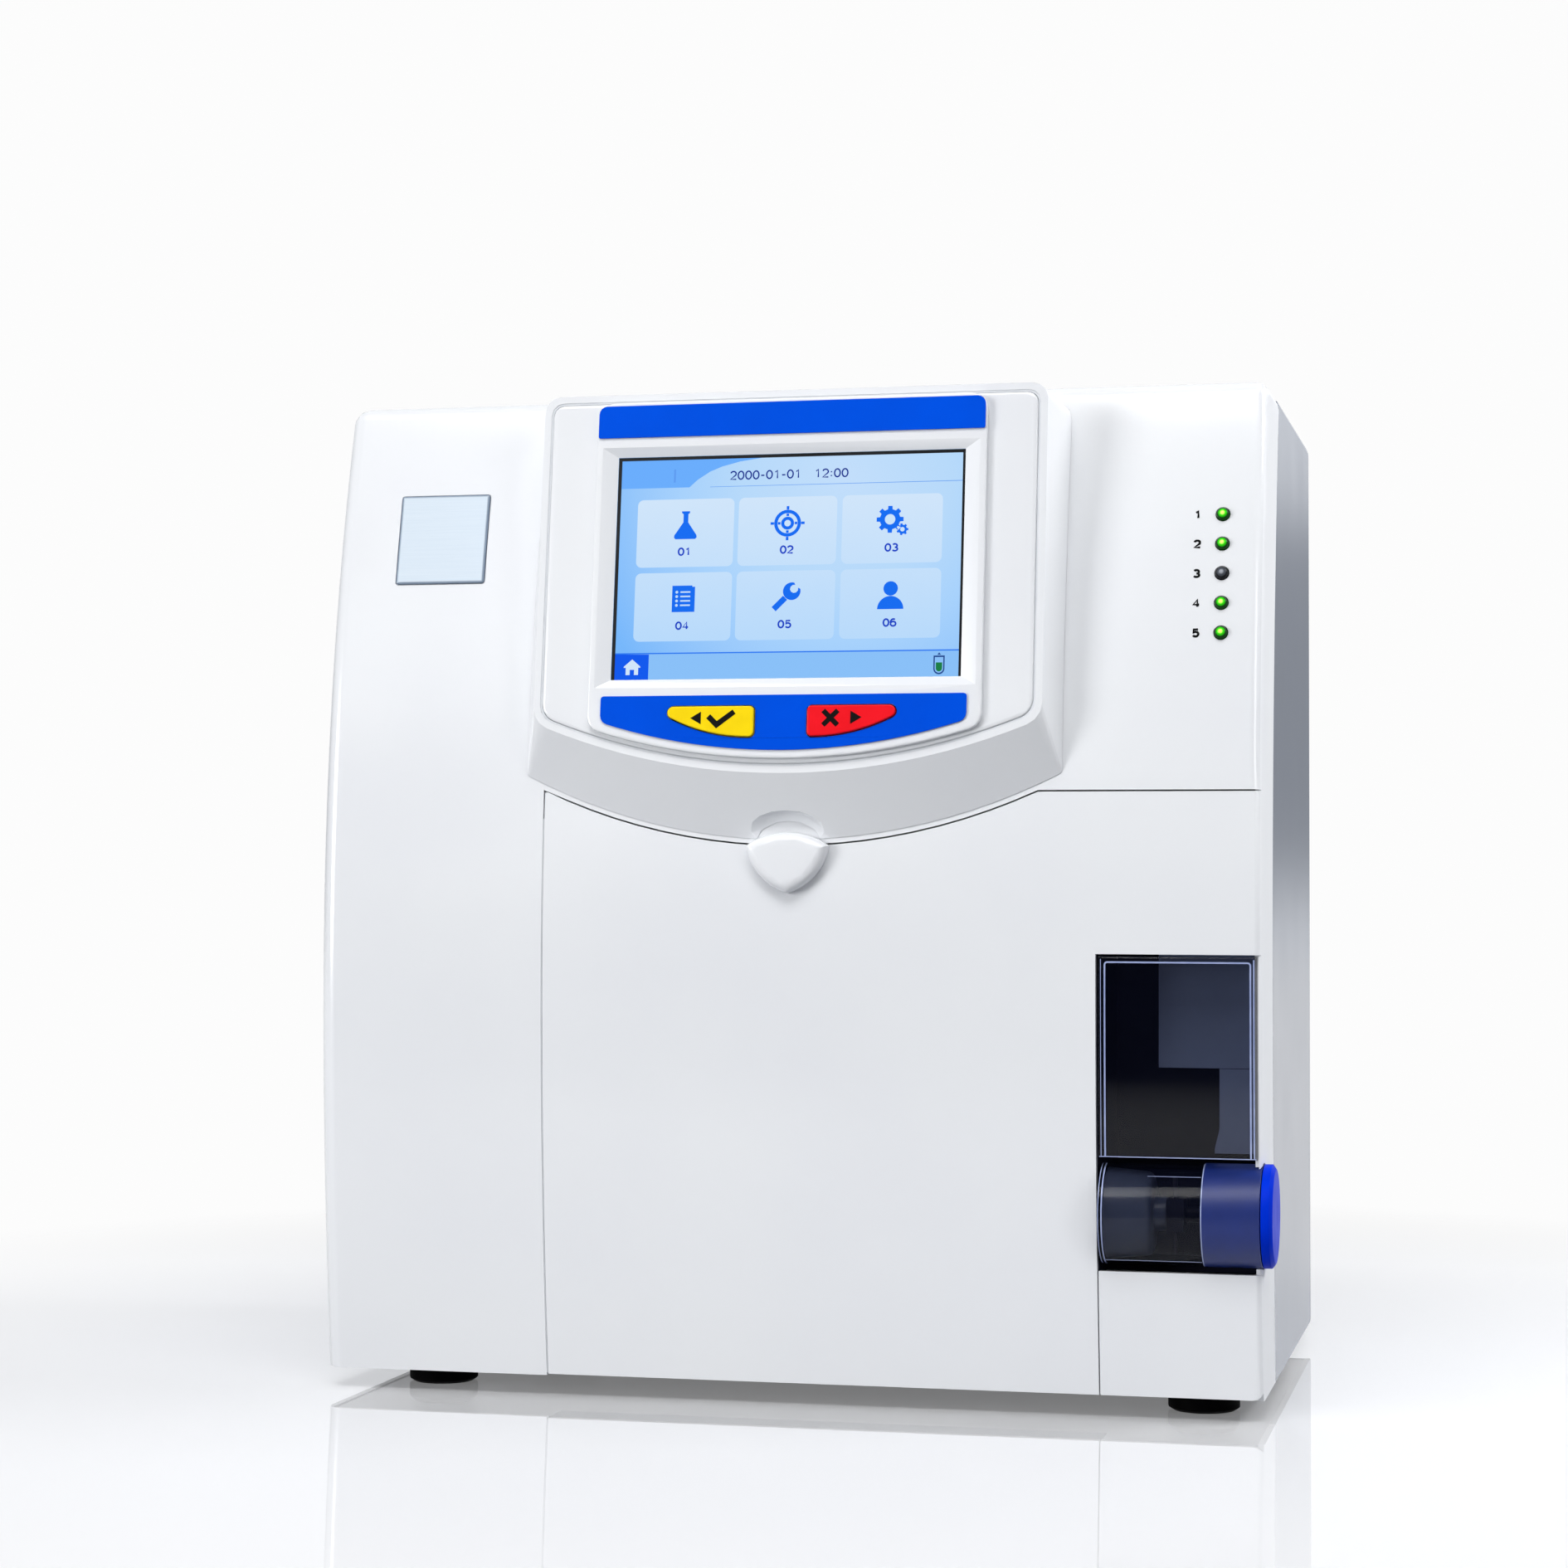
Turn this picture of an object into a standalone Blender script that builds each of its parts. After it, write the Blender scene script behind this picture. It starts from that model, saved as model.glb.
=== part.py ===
"""Bench electrolyte analyzer: curved front case, tilted screen head, L-shaped front door,
smoked sampler window with a turning drum, and the working parts behind them.

Metres, +Z up, the front faces -Y. Heights are measured from the table."""

import math

import bmesh
import bpy
from mathutils import Matrix, Vector

# Housing
body_width = 0.364
body_height = 0.378
body_depth = 0.238
foot_height = 0.008
case_wall = 0.0025
bulge_above_base = 0.157
upper_front_radius = 0.756
lower_front_radius = 1.24
front_strip_depth = 0.050
seam_gap = 0.0006
top_edge_radius = 0.007
left_edge_width = 0.007
right_edge_width = 0.0045
rear_edge_radius = 0.006
rear_low_radius = 0.003
rear_side_width = 0.003
panel_thickness = 0.003
panel_gap = 0.0006
fit_gap = 0.0003
cut_overrun = 0.010
front_step = 0.014

weld_distance = 0.000001
flat_angle = math.radians(0.05)
sharp_angle = math.radians(32.0)

base = foot_height
top = foot_height + body_height
bulge_height = base + bulge_above_base
half_width = body_width / 2

# Base tray and feet
tray_thickness = 0.0025
tray_lift = 0.0005
tray_notch_depth = 0.0145
foot_radius = 0.0135
foot_neck_radius = 0.0115
foot_left_inset = 0.0385
foot_right_inset = 0.025
foot_front_inset = 0.040
foot_rear_inset = 0.030
foot_skirt_share = 0.7
foot_sole_share = 0.15

# Front door
door_left_inset = 0.0073
door_window_margin = 0.0008
seam_drop = 0.0114
hinge_above_base = 0.007
hinge_behind_door = 0.0043
hinge_ear_radius = 0.0032
hinge_ear_width = 0.008
hinge_pin_radius = 0.0013
hinge_inset = 0.020
door_edge_width = 0.0026
lower_panel_radius = 0.004
corner_strip = 0.0011
tab_half_width = 0.0160
tab_crown = 0.0050
tab_shoulder_drop = 0.0023
tab_length = 0.0180
tab_side_bulge = 0.0036
tab_stand = 0.0050
tab_edge_width = 0.0034
catch_width = 0.024
catch_depth = 0.0035
catch_height = 0.018
catch_gap = 0.0006

# Screen head
head_centre = 0.0052
head_top_margin = 0.0007
head_stand = 0.01403
head_tilt = math.radians(7.0)
lip_side_margin = 0.0222
lip_top_margin = 0.0038
lip_low_margin = 0.0052
lip_arc_radius = 0.250
lip_top_radius = 0.006
lip_bottom_radius = 0.009
lip_width = 0.0026
skirt_flare = 0.0057
skirt_top_inset = 0.0053
skirt_drop = 0.0295
skirt_arc_radius = 0.228
skirt_top_radius = 0.008
skirt_bottom_radius = 0.002
skirt_rim_width = 0.009
skirt_side_steps = 10
door_arc_drop = 0.0022
scoop_half_width = 0.0175
scoop_height = 0.0110
scoop_depth = 0.0068
scoop_forward = 0.0050
head_opening_radius = 0.004

# Screen and keys
bezel_groove = 0.0008
bezel_stand = 0.0006
bezel_thickness = 0.003
bezel_edge = 0.0012
panel_side_margin = 0.0024
panel_arc_radius = 0.246
panel_corner_radius = 0.006
panel_rise = 0.002
panel_edge = 0.0008
recess_side_slope = 0.0059
recess_rise = 0.0035
glass_half_width = 0.0673
glass_low = 0.0310
glass_high = 0.1173
glass_overlap = 0.0030
glass_thickness = 0.0012
module_depth = 0.0035
module_flange = 0.004
display_board_share = 0.8
board_thickness = 0.0016
band_thickness = 0.0004
upper_band_inset = 0.0006
upper_band_screen_gap = 0.0037
upper_band_height = 0.0125
upper_band_margin = 0.0015
upper_band_radius = 0.0031
upper_band_low_radius = 0.0008
lower_band_inset = 0.0054
lower_band_screen_gap = 0.0032
lower_band_height = 0.0209
lower_band_margin = 0.0030
lower_band_arc_radius = 0.230
lower_band_radius = 0.0012
lower_band_bottom_radius = 0.0036
key_inner_reach = 0.0102
key_outer_reach = 0.0437
key_low_margin = 0.0050
key_high_margin = 0.0043
key_tip_radius = 0.0023
key_corner_radius = 0.0018
key_stand = 0.0010
key_clearance = 0.0004
key_travel = 0.0008
key_board_margin = 0.0030

# Badge plate and status lights
badge_offset = 0.00205
badge_below_top = 0.0547
badge_size = 0.0362
badge_thickness = 0.0014
badge_stand = 0.0006
badge_corner_radius = 0.0012
light_inset = 0.0154
lights_below_top = 0.0738
light_pitch = 0.01117
light_count = 5
light_radius = 0.0025
light_length = 0.0060
light_flange = 0.0005
status_board_width = 0.016

# Sampler
window_reach = 0.0597
window_top_share = 0.728
window_drum_margin = 0.0023
window_thickness = 0.0025
window_edge_width = 0.0008
sampler_floor_margin = 0.0018
drum_height = 0.0757
drum_set_back = 0.0115
drum_radius = 0.0186
drum_wall = 0.0016
knob_length = 0.0217
drum_gap = 0.0004
knob_cap_thickness = 0.0042
knob_cap_rim_share = 0.7
knob_bore = 0.0150
shaft_radius = 0.003
hub_small_radius = 0.009
hub_length = 0.022
probe_radius = 0.0009
probe_grip_width = 0.0032
probe_grip_height = 0.012
bearing_wall_thickness = 0.007
sampler_back = 0.060
sampler_shelf = 0.020
column_reach = 0.0170
recess_side_margin = 0.0202
recess_top_share = 0.437
housing_wall = 0.003

# Chassis and working parts
rear_bay_depth = 0.130
chassis_thickness = 0.0015
chassis_margin = 0.004
electrode_radius = 0.0130
electrode_length = 0.0222
electrode_reach = 0.1483
electrode_axis_height = 0.1450
electrode_chassis_gap = 0.028
rack_wall = 0.004
lever_length = 0.032
lever_width = 0.009
lever_pivot_radius = 0.006
lever_pin_radius = 0.002
pump_reach = 0.1773
pump_height = 0.070
pump_outer_radius = 0.029
pump_bore_radius = 0.0205
pump_depth = 0.022
rotor_roller_radius = 0.0045
rotor_roller_circle = 0.0130
rotor_plate_thickness = 0.003
rotor_shaft_radius = 0.0025
motor_size = 0.042
motor_depth = 0.034
pack_side_gap = 0.0247
pack_width = 0.080
pack_height = 0.086
pack_front = 0.024
pack_rear_gap = 0.0017
pack_edge = 0.004
port_depth_share = 0.6
port_shares = (0.25, 0.5)
valve_width = 0.018
valve_height = 0.028
valve_depth = 0.020
tube_radius = 0.0016
tube_rise_share = 0.5
tube_sway_share = 0.3

# Rear parts
fan_size = 0.060
fan_depth = 0.020
fan_inset = 0.142
fan_drop = 0.096
fan_bore_radius = 0.028
fan_hub_radius = 0.011
fan_blade_count = 7
fan_blade_pitch = math.radians(35.0)
grille_slot_height = 0.004
grille_slot_count = 6
supply_inset = 0.010
supply_width = 0.080
supply_height = 0.100
supply_depth = 0.058
supply_rear_gap = 0.034
mainboard_inset = 0.032
mainboard_width = 0.180
mainboard_height = 0.150
mainboard_low = 0.130
inlet_inset = 0.044
inlet_height = 0.048
inlet_width = 0.030
inlet_tall = 0.024
inlet_depth = 0.024
inlet_flange = 0.003
switch_pitch = 0.043
switch_width = 0.013
switch_tall = 0.019
switch_depth = 0.008
switch_rock_gap = 0.0016

# Places that follow from the sizes above
recess_half_width = glass_half_width + recess_side_slope
recess_low = glass_low - recess_rise
recess_high = glass_high + recess_rise
panel_half_width = recess_half_width + panel_side_margin
upper_band_half_width = panel_half_width - upper_band_inset
upper_band_low = recess_high + upper_band_screen_gap
upper_band_high = upper_band_low + upper_band_height
lower_band_half_width = panel_half_width - lower_band_inset
lower_band_high = recess_low - lower_band_screen_gap
lower_band_low = lower_band_high - lower_band_height
panel_top = upper_band_high + upper_band_margin
panel_low = lower_band_low - lower_band_margin
key_low = lower_band_low + key_low_margin
key_high = lower_band_high - key_high_margin
lip_half_width = panel_half_width + lip_side_margin
lip_top = panel_top + lip_top_margin
lip_low = panel_low - lip_low_margin
skirt_half_width = lip_half_width + skirt_flare
head_height = top - lip_top - head_top_margin
skirt_low_height = head_height - skirt_drop
door_seam_height = head_height - seam_drop
tab_shoulder_height = skirt_low_height - tab_shoulder_drop
badge_centre = (head_centre - skirt_half_width - half_width) / 2 + badge_offset
badge_height = top - badge_below_top
light_centre = half_width - light_inset
light_middle_height = top - lights_below_top
window_left = half_width - window_reach
window_low = drum_height + drum_radius + window_drum_margin
window_top = base + (door_seam_height - base) * window_top_share
sampler_low = drum_height - drum_radius - sampler_floor_margin
drum_right = half_width - knob_length
sampler_column = half_width - column_reach
sampler_recess_left = window_left + recess_side_margin
sampler_recess_top = window_low + (window_top - window_low) * recess_top_share
door_left = head_centre - skirt_half_width + door_left_inset
door_lower_right = window_left - door_window_margin
chassis_set_back = body_depth - rear_bay_depth
electrode_first = window_left - electrode_reach
electrode_set_back = chassis_set_back - electrode_chassis_gap
pump_centre = window_left - pump_reach
pack_left = window_left - panel_gap - bearing_wall_thickness - pack_side_gap - pack_width
pack_depth = chassis_set_back - fit_gap - pump_depth - pack_rear_gap - pack_front
fan_centre = fan_inset - half_width
fan_height = top - fan_drop
supply_left = supply_inset - half_width
mainboard_left = half_width - mainboard_inset - mainboard_width
inlet_centre = inlet_inset - half_width
switch_centre = inlet_centre + switch_pitch

white_plastic = {"colour": (0.83, 0.85, 0.87), "roughness": 0.22, "metallic": 0.0}
grey_plastic = {"colour": (0.50, 0.53, 0.58), "roughness": 0.35, "metallic": 0.0}
smoked_plastic = {"colour": (0.010, 0.014, 0.030), "roughness": 0.08, "metallic": 0.0}
charcoal_plastic = {"colour": (0.025, 0.028, 0.040), "roughness": 0.45, "metallic": 0.0}
black_rubber = {"colour": (0.012, 0.012, 0.014), "roughness": 0.60, "metallic": 0.0}
band_blue = {"colour": (0.0, 0.085, 0.74), "roughness": 0.35, "metallic": 0.0}
key_yellow = {"colour": (1.0, 0.76, 0.0), "roughness": 0.35, "metallic": 0.0}
key_red = {"colour": (0.75, 0.010, 0.025), "roughness": 0.35, "metallic": 0.0}
knob_blue = {"colour": (0.010, 0.035, 0.33), "roughness": 0.15, "metallic": 0.0}
cap_blue = {"colour": (0.0, 0.025, 0.80), "roughness": 0.12, "metallic": 0.0}
screen_blue = {"colour": (0.10, 0.36, 0.95), "roughness": 0.08, "metallic": 0.0}
lens_grey = {"colour": (0.36, 0.38, 0.40), "roughness": 0.12, "metallic": 0.0}
badge_silver = {"colour": (0.60, 0.68, 0.80), "roughness": 0.25, "metallic": 0.3}
bare_steel = {"colour": (0.55, 0.56, 0.58), "roughness": 0.30, "metallic": 1.0}
board_green = {"colour": (0.010, 0.13, 0.06), "roughness": 0.40, "metallic": 0.0}
tube_clear = {"colour": (0.75, 0.78, 0.80), "roughness": 0.15, "metallic": 0.0}
acrylic_white = {"colour": (0.70, 0.76, 0.82), "roughness": 0.12, "metallic": 0.0}

axis_side = Matrix(((0, 0, 1, 0), (1, 0, 0, 0), (0, 1, 0, 0), (0, 0, 0, 1)))
axis_front = Matrix(((1, 0, 0, 0), (0, 0, -1, 0), (0, 1, 0, 0), (0, 0, 0, 1)))
axis_top = Matrix.Identity(4)


def clear_scene():
    for obj in list(bpy.data.objects):
        bpy.data.objects.remove(obj, do_unlink=True)


def new_collection(name):
    collection = bpy.data.collections.new(name)
    bpy.context.scene.collection.children.link(collection)
    return collection


def paint(obj, finish):
    material = bpy.data.materials.new(obj.name)
    material.use_nodes = True
    shader = material.node_tree.nodes["Principled BSDF"]
    shader.inputs["Base Color"].default_value = (*finish["colour"], 1.0)
    shader.inputs["Roughness"].default_value = finish["roughness"]
    shader.inputs["Metallic"].default_value = finish["metallic"]
    obj.data.materials.clear()
    obj.data.materials.append(material)


def evaluated_mesh(obj):
    graph = bpy.context.evaluated_depsgraph_get()
    return bpy.data.meshes.new_from_object(obj.evaluated_get(graph))


def mesh_object(name, mesh):
    mesh.name = name
    obj = bpy.data.objects.new(name, mesh)
    parts.objects.link(obj)
    return obj


def bmesh_object(name, shape):
    mesh = bpy.data.meshes.new(name)
    shape.to_mesh(mesh)
    shape.free()
    return mesh_object(name, mesh)


def bake_modifiers(obj):
    mesh = evaluated_mesh(obj)
    old = obj.data
    obj.modifiers.clear()
    obj.data = mesh
    bpy.data.meshes.remove(old)
    return obj


# Shapes are drawn in a frame whose first two axes hold the outline and whose third is its depth


def prism(name, outlines, low, high, frame):
    """A flat outline, with any holes, filled and extruded from low to high."""
    curve = bpy.data.curves.new(name, "CURVE")
    curve.dimensions = "2D"
    curve.fill_mode = "BOTH"
    curve.extrude = (high - low) / 2
    for outline in outlines:
        spline = curve.splines.new("POLY")
        spline.points.add(len(outline) - 1)
        for point, (a, b) in zip(spline.points, outline):
            point.co = (a, b, 0, 1)
        spline.use_cyclic_u = True
    drawn = bpy.data.objects.new(name, curve)
    parts.objects.link(drawn)
    mesh = evaluated_mesh(drawn)
    bpy.data.objects.remove(drawn)
    bpy.data.curves.remove(curve)
    shape = bmesh.new()
    shape.from_mesh(mesh)
    bpy.data.meshes.remove(mesh)
    bmesh.ops.remove_doubles(shape, verts=shape.verts, dist=weld_distance)
    bmesh.ops.transform(shape, matrix=frame @ Matrix.Translation((0, 0, (low + high) / 2)), verts=shape.verts)
    bmesh.ops.recalc_face_normals(shape, faces=shape.faces)
    return bmesh_object(name, shape)


def cylinder(name, radius, low, high, frame, at=(0, 0), sides=32, end_radius=None):
    shape = bmesh.new()
    far_radius = radius if end_radius is None else end_radius
    bmesh.ops.create_cone(
        shape, cap_ends=True, segments=sides, radius1=radius, radius2=far_radius, depth=high - low
    )
    place = frame @ Matrix.Translation((*at, (low + high) / 2))
    bmesh.ops.transform(shape, matrix=place, verts=shape.verts)
    return bmesh_object(name, shape)


def box(name, low, high, edge=0):
    """An upright box between two corners, with its edges rounded if edge is given."""
    low, high = Vector(low), Vector(high)
    shape = bmesh.new()
    bmesh.ops.create_cube(shape, size=1)
    place = Matrix.Translation((low + high) / 2) @ Matrix.Diagonal((*(high - low), 1))
    bmesh.ops.transform(shape, matrix=place, verts=shape.verts)
    if edge:
        bmesh.ops.bevel(shape, geom=shape.edges, offset=edge, segments=2, profile=0.5, affect="EDGES")
    return bmesh_object(name, shape)


def turned(name, profile, frame, steps=24):
    """A profile of (radius, height) points, from the top down its outer side, turned about the depth axis."""
    mesh = bpy.data.meshes.new(name)
    points = [(radius, 0, height) for radius, height in profile]
    mesh.from_pydata(points, [(i, i + 1) for i in range(len(points) - 1)], [])
    obj = mesh_object(name, mesh)
    screw = obj.modifiers.new("Turn", "SCREW")
    screw.steps = steps
    screw.render_steps = steps
    screw.use_merge_vertices = True
    screw.merge_threshold = weld_distance
    bake_modifiers(obj)
    shape = bmesh.new()
    shape.from_mesh(obj.data)
    bmesh.ops.remove_doubles(shape, verts=shape.verts, dist=weld_distance)
    bmesh.ops.transform(shape, matrix=frame, verts=shape.verts)
    bmesh.ops.recalc_face_normals(shape, faces=shape.faces)
    shape.to_mesh(obj.data)
    shape.free()
    return obj


def tube(name, points, radius):
    """A flexible tube through hand-placed points, smoothed."""
    curve = bpy.data.curves.new(name, "CURVE")
    curve.dimensions = "3D"
    curve.bevel_depth = radius
    curve.bevel_resolution = 1
    curve.use_fill_caps = True
    spline = curve.splines.new("POLY")
    route = smooth_route(points)
    spline.points.add(len(route) - 1)
    for point, place in zip(spline.points, route):
        point.co = (*place, 1)
    drawn = bpy.data.objects.new(name, curve)
    parts.objects.link(drawn)
    mesh = evaluated_mesh(drawn)
    bpy.data.objects.remove(drawn)
    bpy.data.curves.remove(curve)
    shape = bmesh.new()
    shape.from_mesh(mesh)
    bpy.data.meshes.remove(mesh)
    bmesh.ops.remove_doubles(shape, verts=shape.verts, dist=weld_distance)
    return bmesh_object(name, shape)


def smooth_route(points, steps=6):
    """A Catmull-Rom curve through the points."""
    route = [Vector(p) for p in points]
    ends = [route[0] * 2 - route[1], *route, route[-1] * 2 - route[-2]]
    smooth = []
    for before, start, end, after in zip(ends, ends[1:], ends[2:], ends[3:]):
        for i in range(steps):
            t = i / steps
            smooth.append(
                start
                + (end - before) * (t / 2)
                + (before * 2 - start * 5 + end * 4 - after) * (t * t / 2)
                + (start * 3 - before - end * 3 + after) * (t * t * t / 2)
            )
    smooth.append(route[-1])
    return smooth


def boolean(obj, others, operation):
    for other in others:
        cut = obj.modifiers.new(operation.title(), "BOOLEAN")
        cut.operation = operation
        cut.object = other
        cut.solver = "EXACT"
    bake_modifiers(obj)
    for other in others:
        bpy.data.objects.remove(other)
    return obj


def cut_away(obj, *cutters):
    return boolean(obj, cutters, "DIFFERENCE")


def join(obj, *others):
    return boolean(obj, others, "UNION")


def overlap_of(obj, other):
    return boolean(obj, [other], "INTERSECT")


def round_edges(obj, chosen, width, segments=2):
    """Rounds the edges whose two ends both pass the test."""
    shape = bmesh.new()
    shape.from_mesh(obj.data)
    bmesh.ops.dissolve_limit(shape, angle_limit=flat_angle, verts=shape.verts, edges=shape.edges)
    edges = [e for e in shape.edges if all(chosen(v.co) for v in e.verts) and len(e.link_faces) == 2]
    edges = [e for e in edges if e.calc_face_angle() > sharp_angle]
    bmesh.ops.bevel(shape, geom=edges, offset=width, segments=segments, profile=0.5, affect="EDGES")
    shape.to_mesh(obj.data)
    shape.free()
    return obj


def arc(centre, radius, start, end, steps):
    """Points on a circle, angles in radians, both ends included."""
    angles = [start + (end - start) * i / steps for i in range(steps + 1)]
    return [(centre[0] + radius * math.cos(a), centre[1] + radius * math.sin(a)) for a in angles]


def bulge(start, end, rise, steps=8):
    """Points from start up to end on an arc that bows out to the right of the way between them."""
    start, end = Vector(start), Vector(end)
    chord = end - start
    radius = (chord.length**2 / 4 + rise**2) / (2 * rise)
    outward = Vector((chord.y, -chord.x)).normalized()
    centre = (start + end) / 2 - outward * (radius - rise)
    sweep = 2 * math.asin(chord.length / 2 / radius)
    first = math.atan2(start.y - centre.y, start.x - centre.x)
    return arc(centre, radius, first, first + sweep, steps)[:-1]


def rounded_rectangle(left, low, right, high, radius, steps=4, low_radius=None):
    """Corners of one radius, or of another at its foot."""
    foot = radius if low_radius is None else low_radius
    corners = ((right - foot, low + foot, foot), (right - radius, high - radius, radius),
               (left + radius, high - radius, radius), (left + foot, low + foot, foot))
    quarter = math.pi / 2
    return [p for i, (a, b, r) in enumerate(corners)
            for p in arc((a, b), r, quarter * (i - 1), quarter * i, steps)]


def shield_outline(half, high, low, arc_radius, top_radius, bottom_radius, centre=0, side_steps=1):
    """Straight sides, a flat top and a broad arc below, all corners rounded, from the arc's middle."""
    arc_steps, bottom_steps, top_steps = 12, 3, 3
    arc_centre = low + arc_radius
    corner = half - bottom_radius
    corner_level = arc_centre - math.sqrt((arc_radius - bottom_radius) ** 2 - corner**2)
    meet = math.atan2(corner_level - arc_centre, corner)
    quarter = math.pi / 2
    right = arc((0, arc_centre), arc_radius, -quarter, meet, arc_steps)
    right += arc((corner, corner_level), bottom_radius, meet, 0, bottom_steps)[1:]
    side = high - top_radius - corner_level
    right += [(half, corner_level + side * i / side_steps) for i in range(1, side_steps)]
    right += arc((half - top_radius, high - top_radius), top_radius, 0, quarter, top_steps)
    left = [(-a, b) for a, b in reversed(right[1:])]
    return [(centre + a, b) for a, b in right + left]


# The front of the case is two arcs that meet at the most forward height


def front_radius(height):
    return upper_front_radius if height > bulge_height else lower_front_radius


def front_y(height):
    radius = front_radius(height)
    return radius - math.sqrt(radius**2 - (height - bulge_height) ** 2)


def front_tilt(height):
    return math.asin((height - bulge_height) / front_radius(height))


def front_arc(low, high, inset):
    steps = max(2, round((high - low) / front_step))
    heights = [low + (high - low) * i / steps for i in range(steps + 1)]
    return [(front_y(z) + inset, z) for z in heights]


def case_front_outline(low, high, inset, edge_radius, rear_inset):
    """The side view of the front case: curved front, rounded top, and a rear edge that follows the front."""
    tilt = front_tilt(high - edge_radius)
    tangent = high - edge_radius + edge_radius * math.sin(tilt)
    centre = (front_y(tangent) + inset + edge_radius * math.cos(tilt), high - edge_radius)
    outline = front_arc(low, tangent, inset)[:-1]
    outline += arc(centre, edge_radius, math.pi - tilt, math.pi / 2, 4)
    return outline + list(reversed(front_arc(low, high, rear_inset)))


def case_rear_outline(low, high, inset, edge_radius, low_radius, rear):
    quarter = math.pi / 2
    outline = front_arc(low, high, inset)
    outline += arc((rear - edge_radius, high - edge_radius), edge_radius, quarter, 0, 4)
    return outline + arc((rear - low_radius, low + low_radius), low_radius, 0, -quarter, 3)


def curved_slab(name, left, right, low, high, inset, thickness):
    outline = front_arc(low, high, inset) + list(reversed(front_arc(low, high, inset + thickness)))
    return prism(name, [outline], left, right, axis_side)


def surface_frame(x, height, inset=0):
    """Axes on the front surface: across, up along it, and out of it."""
    tilt = front_tilt(height)
    turn = Matrix.Rotation(math.pi / 2 - tilt, 4, "X")
    return Matrix.Translation((x, front_y(height) + inset, height)) @ turn


def head_frame():
    turn = Matrix.Rotation(math.pi / 2 - head_tilt, 4, "X")
    return Matrix.Translation((head_centre, front_y(head_height) - head_stand, head_height)) @ turn


def door_arc_points(gap):
    """The door's top edge under the screen head, left to right, in X and Z."""
    radius = skirt_arc_radius + door_arc_drop + gap
    centre = (head_centre, skirt_low_height + skirt_arc_radius)
    left_angle = math.pi + math.acos(-(door_left - gap - head_centre) / radius)
    right_angle = 2 * math.pi - math.asin((centre[1] - door_seam_height + gap) / radius)
    return arc(centre, radius, left_angle, right_angle, 20)


def sampler_axis():
    return (drum_set_back, drum_height)


def make_front_case():
    outer = case_front_outline(base, top, 0, top_edge_radius, front_strip_depth)
    case = prism("front_case", [outer], -half_width, half_width, axis_side)
    for side, width in ((-1, left_edge_width), (1, right_edge_width)):
        round_edges(case, lambda p: p.x * side > half_width - fit_gap and on_front_rim(p), width, 3)
    inner_top = top - case_wall
    inner = case_front_outline(
        base - cut_overrun, inner_top, case_wall, case_wall, front_strip_depth + cut_overrun
    )
    inside = half_width - case_wall
    hollow = prism("hollow", [inner], -inside, inside, axis_side)
    cut_away(case, hollow)
    cut_away(case, make_front_opening())
    cut_away(case, *make_case_holes())
    return case


def on_front_rim(p):
    """True on the edge round a side wall's front and top, without its seam with the rear cover."""
    return p.y < front_y(p.z) + front_strip_depth - seam_gap or p.z > top - fit_gap


def make_front_opening():
    """The space in the front wall for the door, the lower panel and the sampler."""
    left = door_left - panel_gap
    right = half_width + cut_overrun
    low = base - cut_overrun
    inset = -cut_overrun
    depth = cut_overrun + panel_thickness + fit_gap
    slab = curved_slab("opening", left, right, low, door_seam_height + cut_overrun, inset, depth)
    seam = door_seam_height + panel_gap / 2
    strip = half_width - corner_strip
    arc_points = door_arc_points(-panel_gap / 2)
    outline = [(left, low), (left, arc_points[0][1])] + arc_points[1:]
    outline += [(right, seam), (right, window_top + panel_gap / 2), (strip, window_top + panel_gap / 2)]
    outline += [(strip, sampler_low - panel_gap / 2), (right, sampler_low - panel_gap / 2), (right, low)]
    return overlap_of(slab, prism("outline", [outline], -body_depth, body_depth, axis_front))


def make_case_holes():
    y, z = sampler_axis()
    barrel = cylinder(
        "barrel", drum_radius + 2 * drum_gap, half_width - cut_overrun, half_width + cut_overrun,
        axis_side, (y, z), 40,
    )
    frame = head_frame()
    opening = rounded_rectangle(
        -recess_half_width, recess_low, recess_half_width, recess_high, head_opening_radius
    )
    screen = prism("screen", [opening], -body_depth / 2, 0, frame)
    badge = surface_frame(badge_centre, badge_height)
    half = badge_size / 2 + fit_gap
    pocket_floor = badge_stand - badge_thickness - fit_gap
    square = rounded_rectangle(-half, -half, half, half, badge_corner_radius)
    pocket = prism("pocket", [square], pocket_floor, cut_overrun, badge)
    lights = [
        cylinder("light", light_radius + fit_gap, -cut_overrun, cut_overrun, frame_of_light, sides=20)
        for frame_of_light in light_frames()
    ]
    return [barrel, screen, pocket, *lights]


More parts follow.
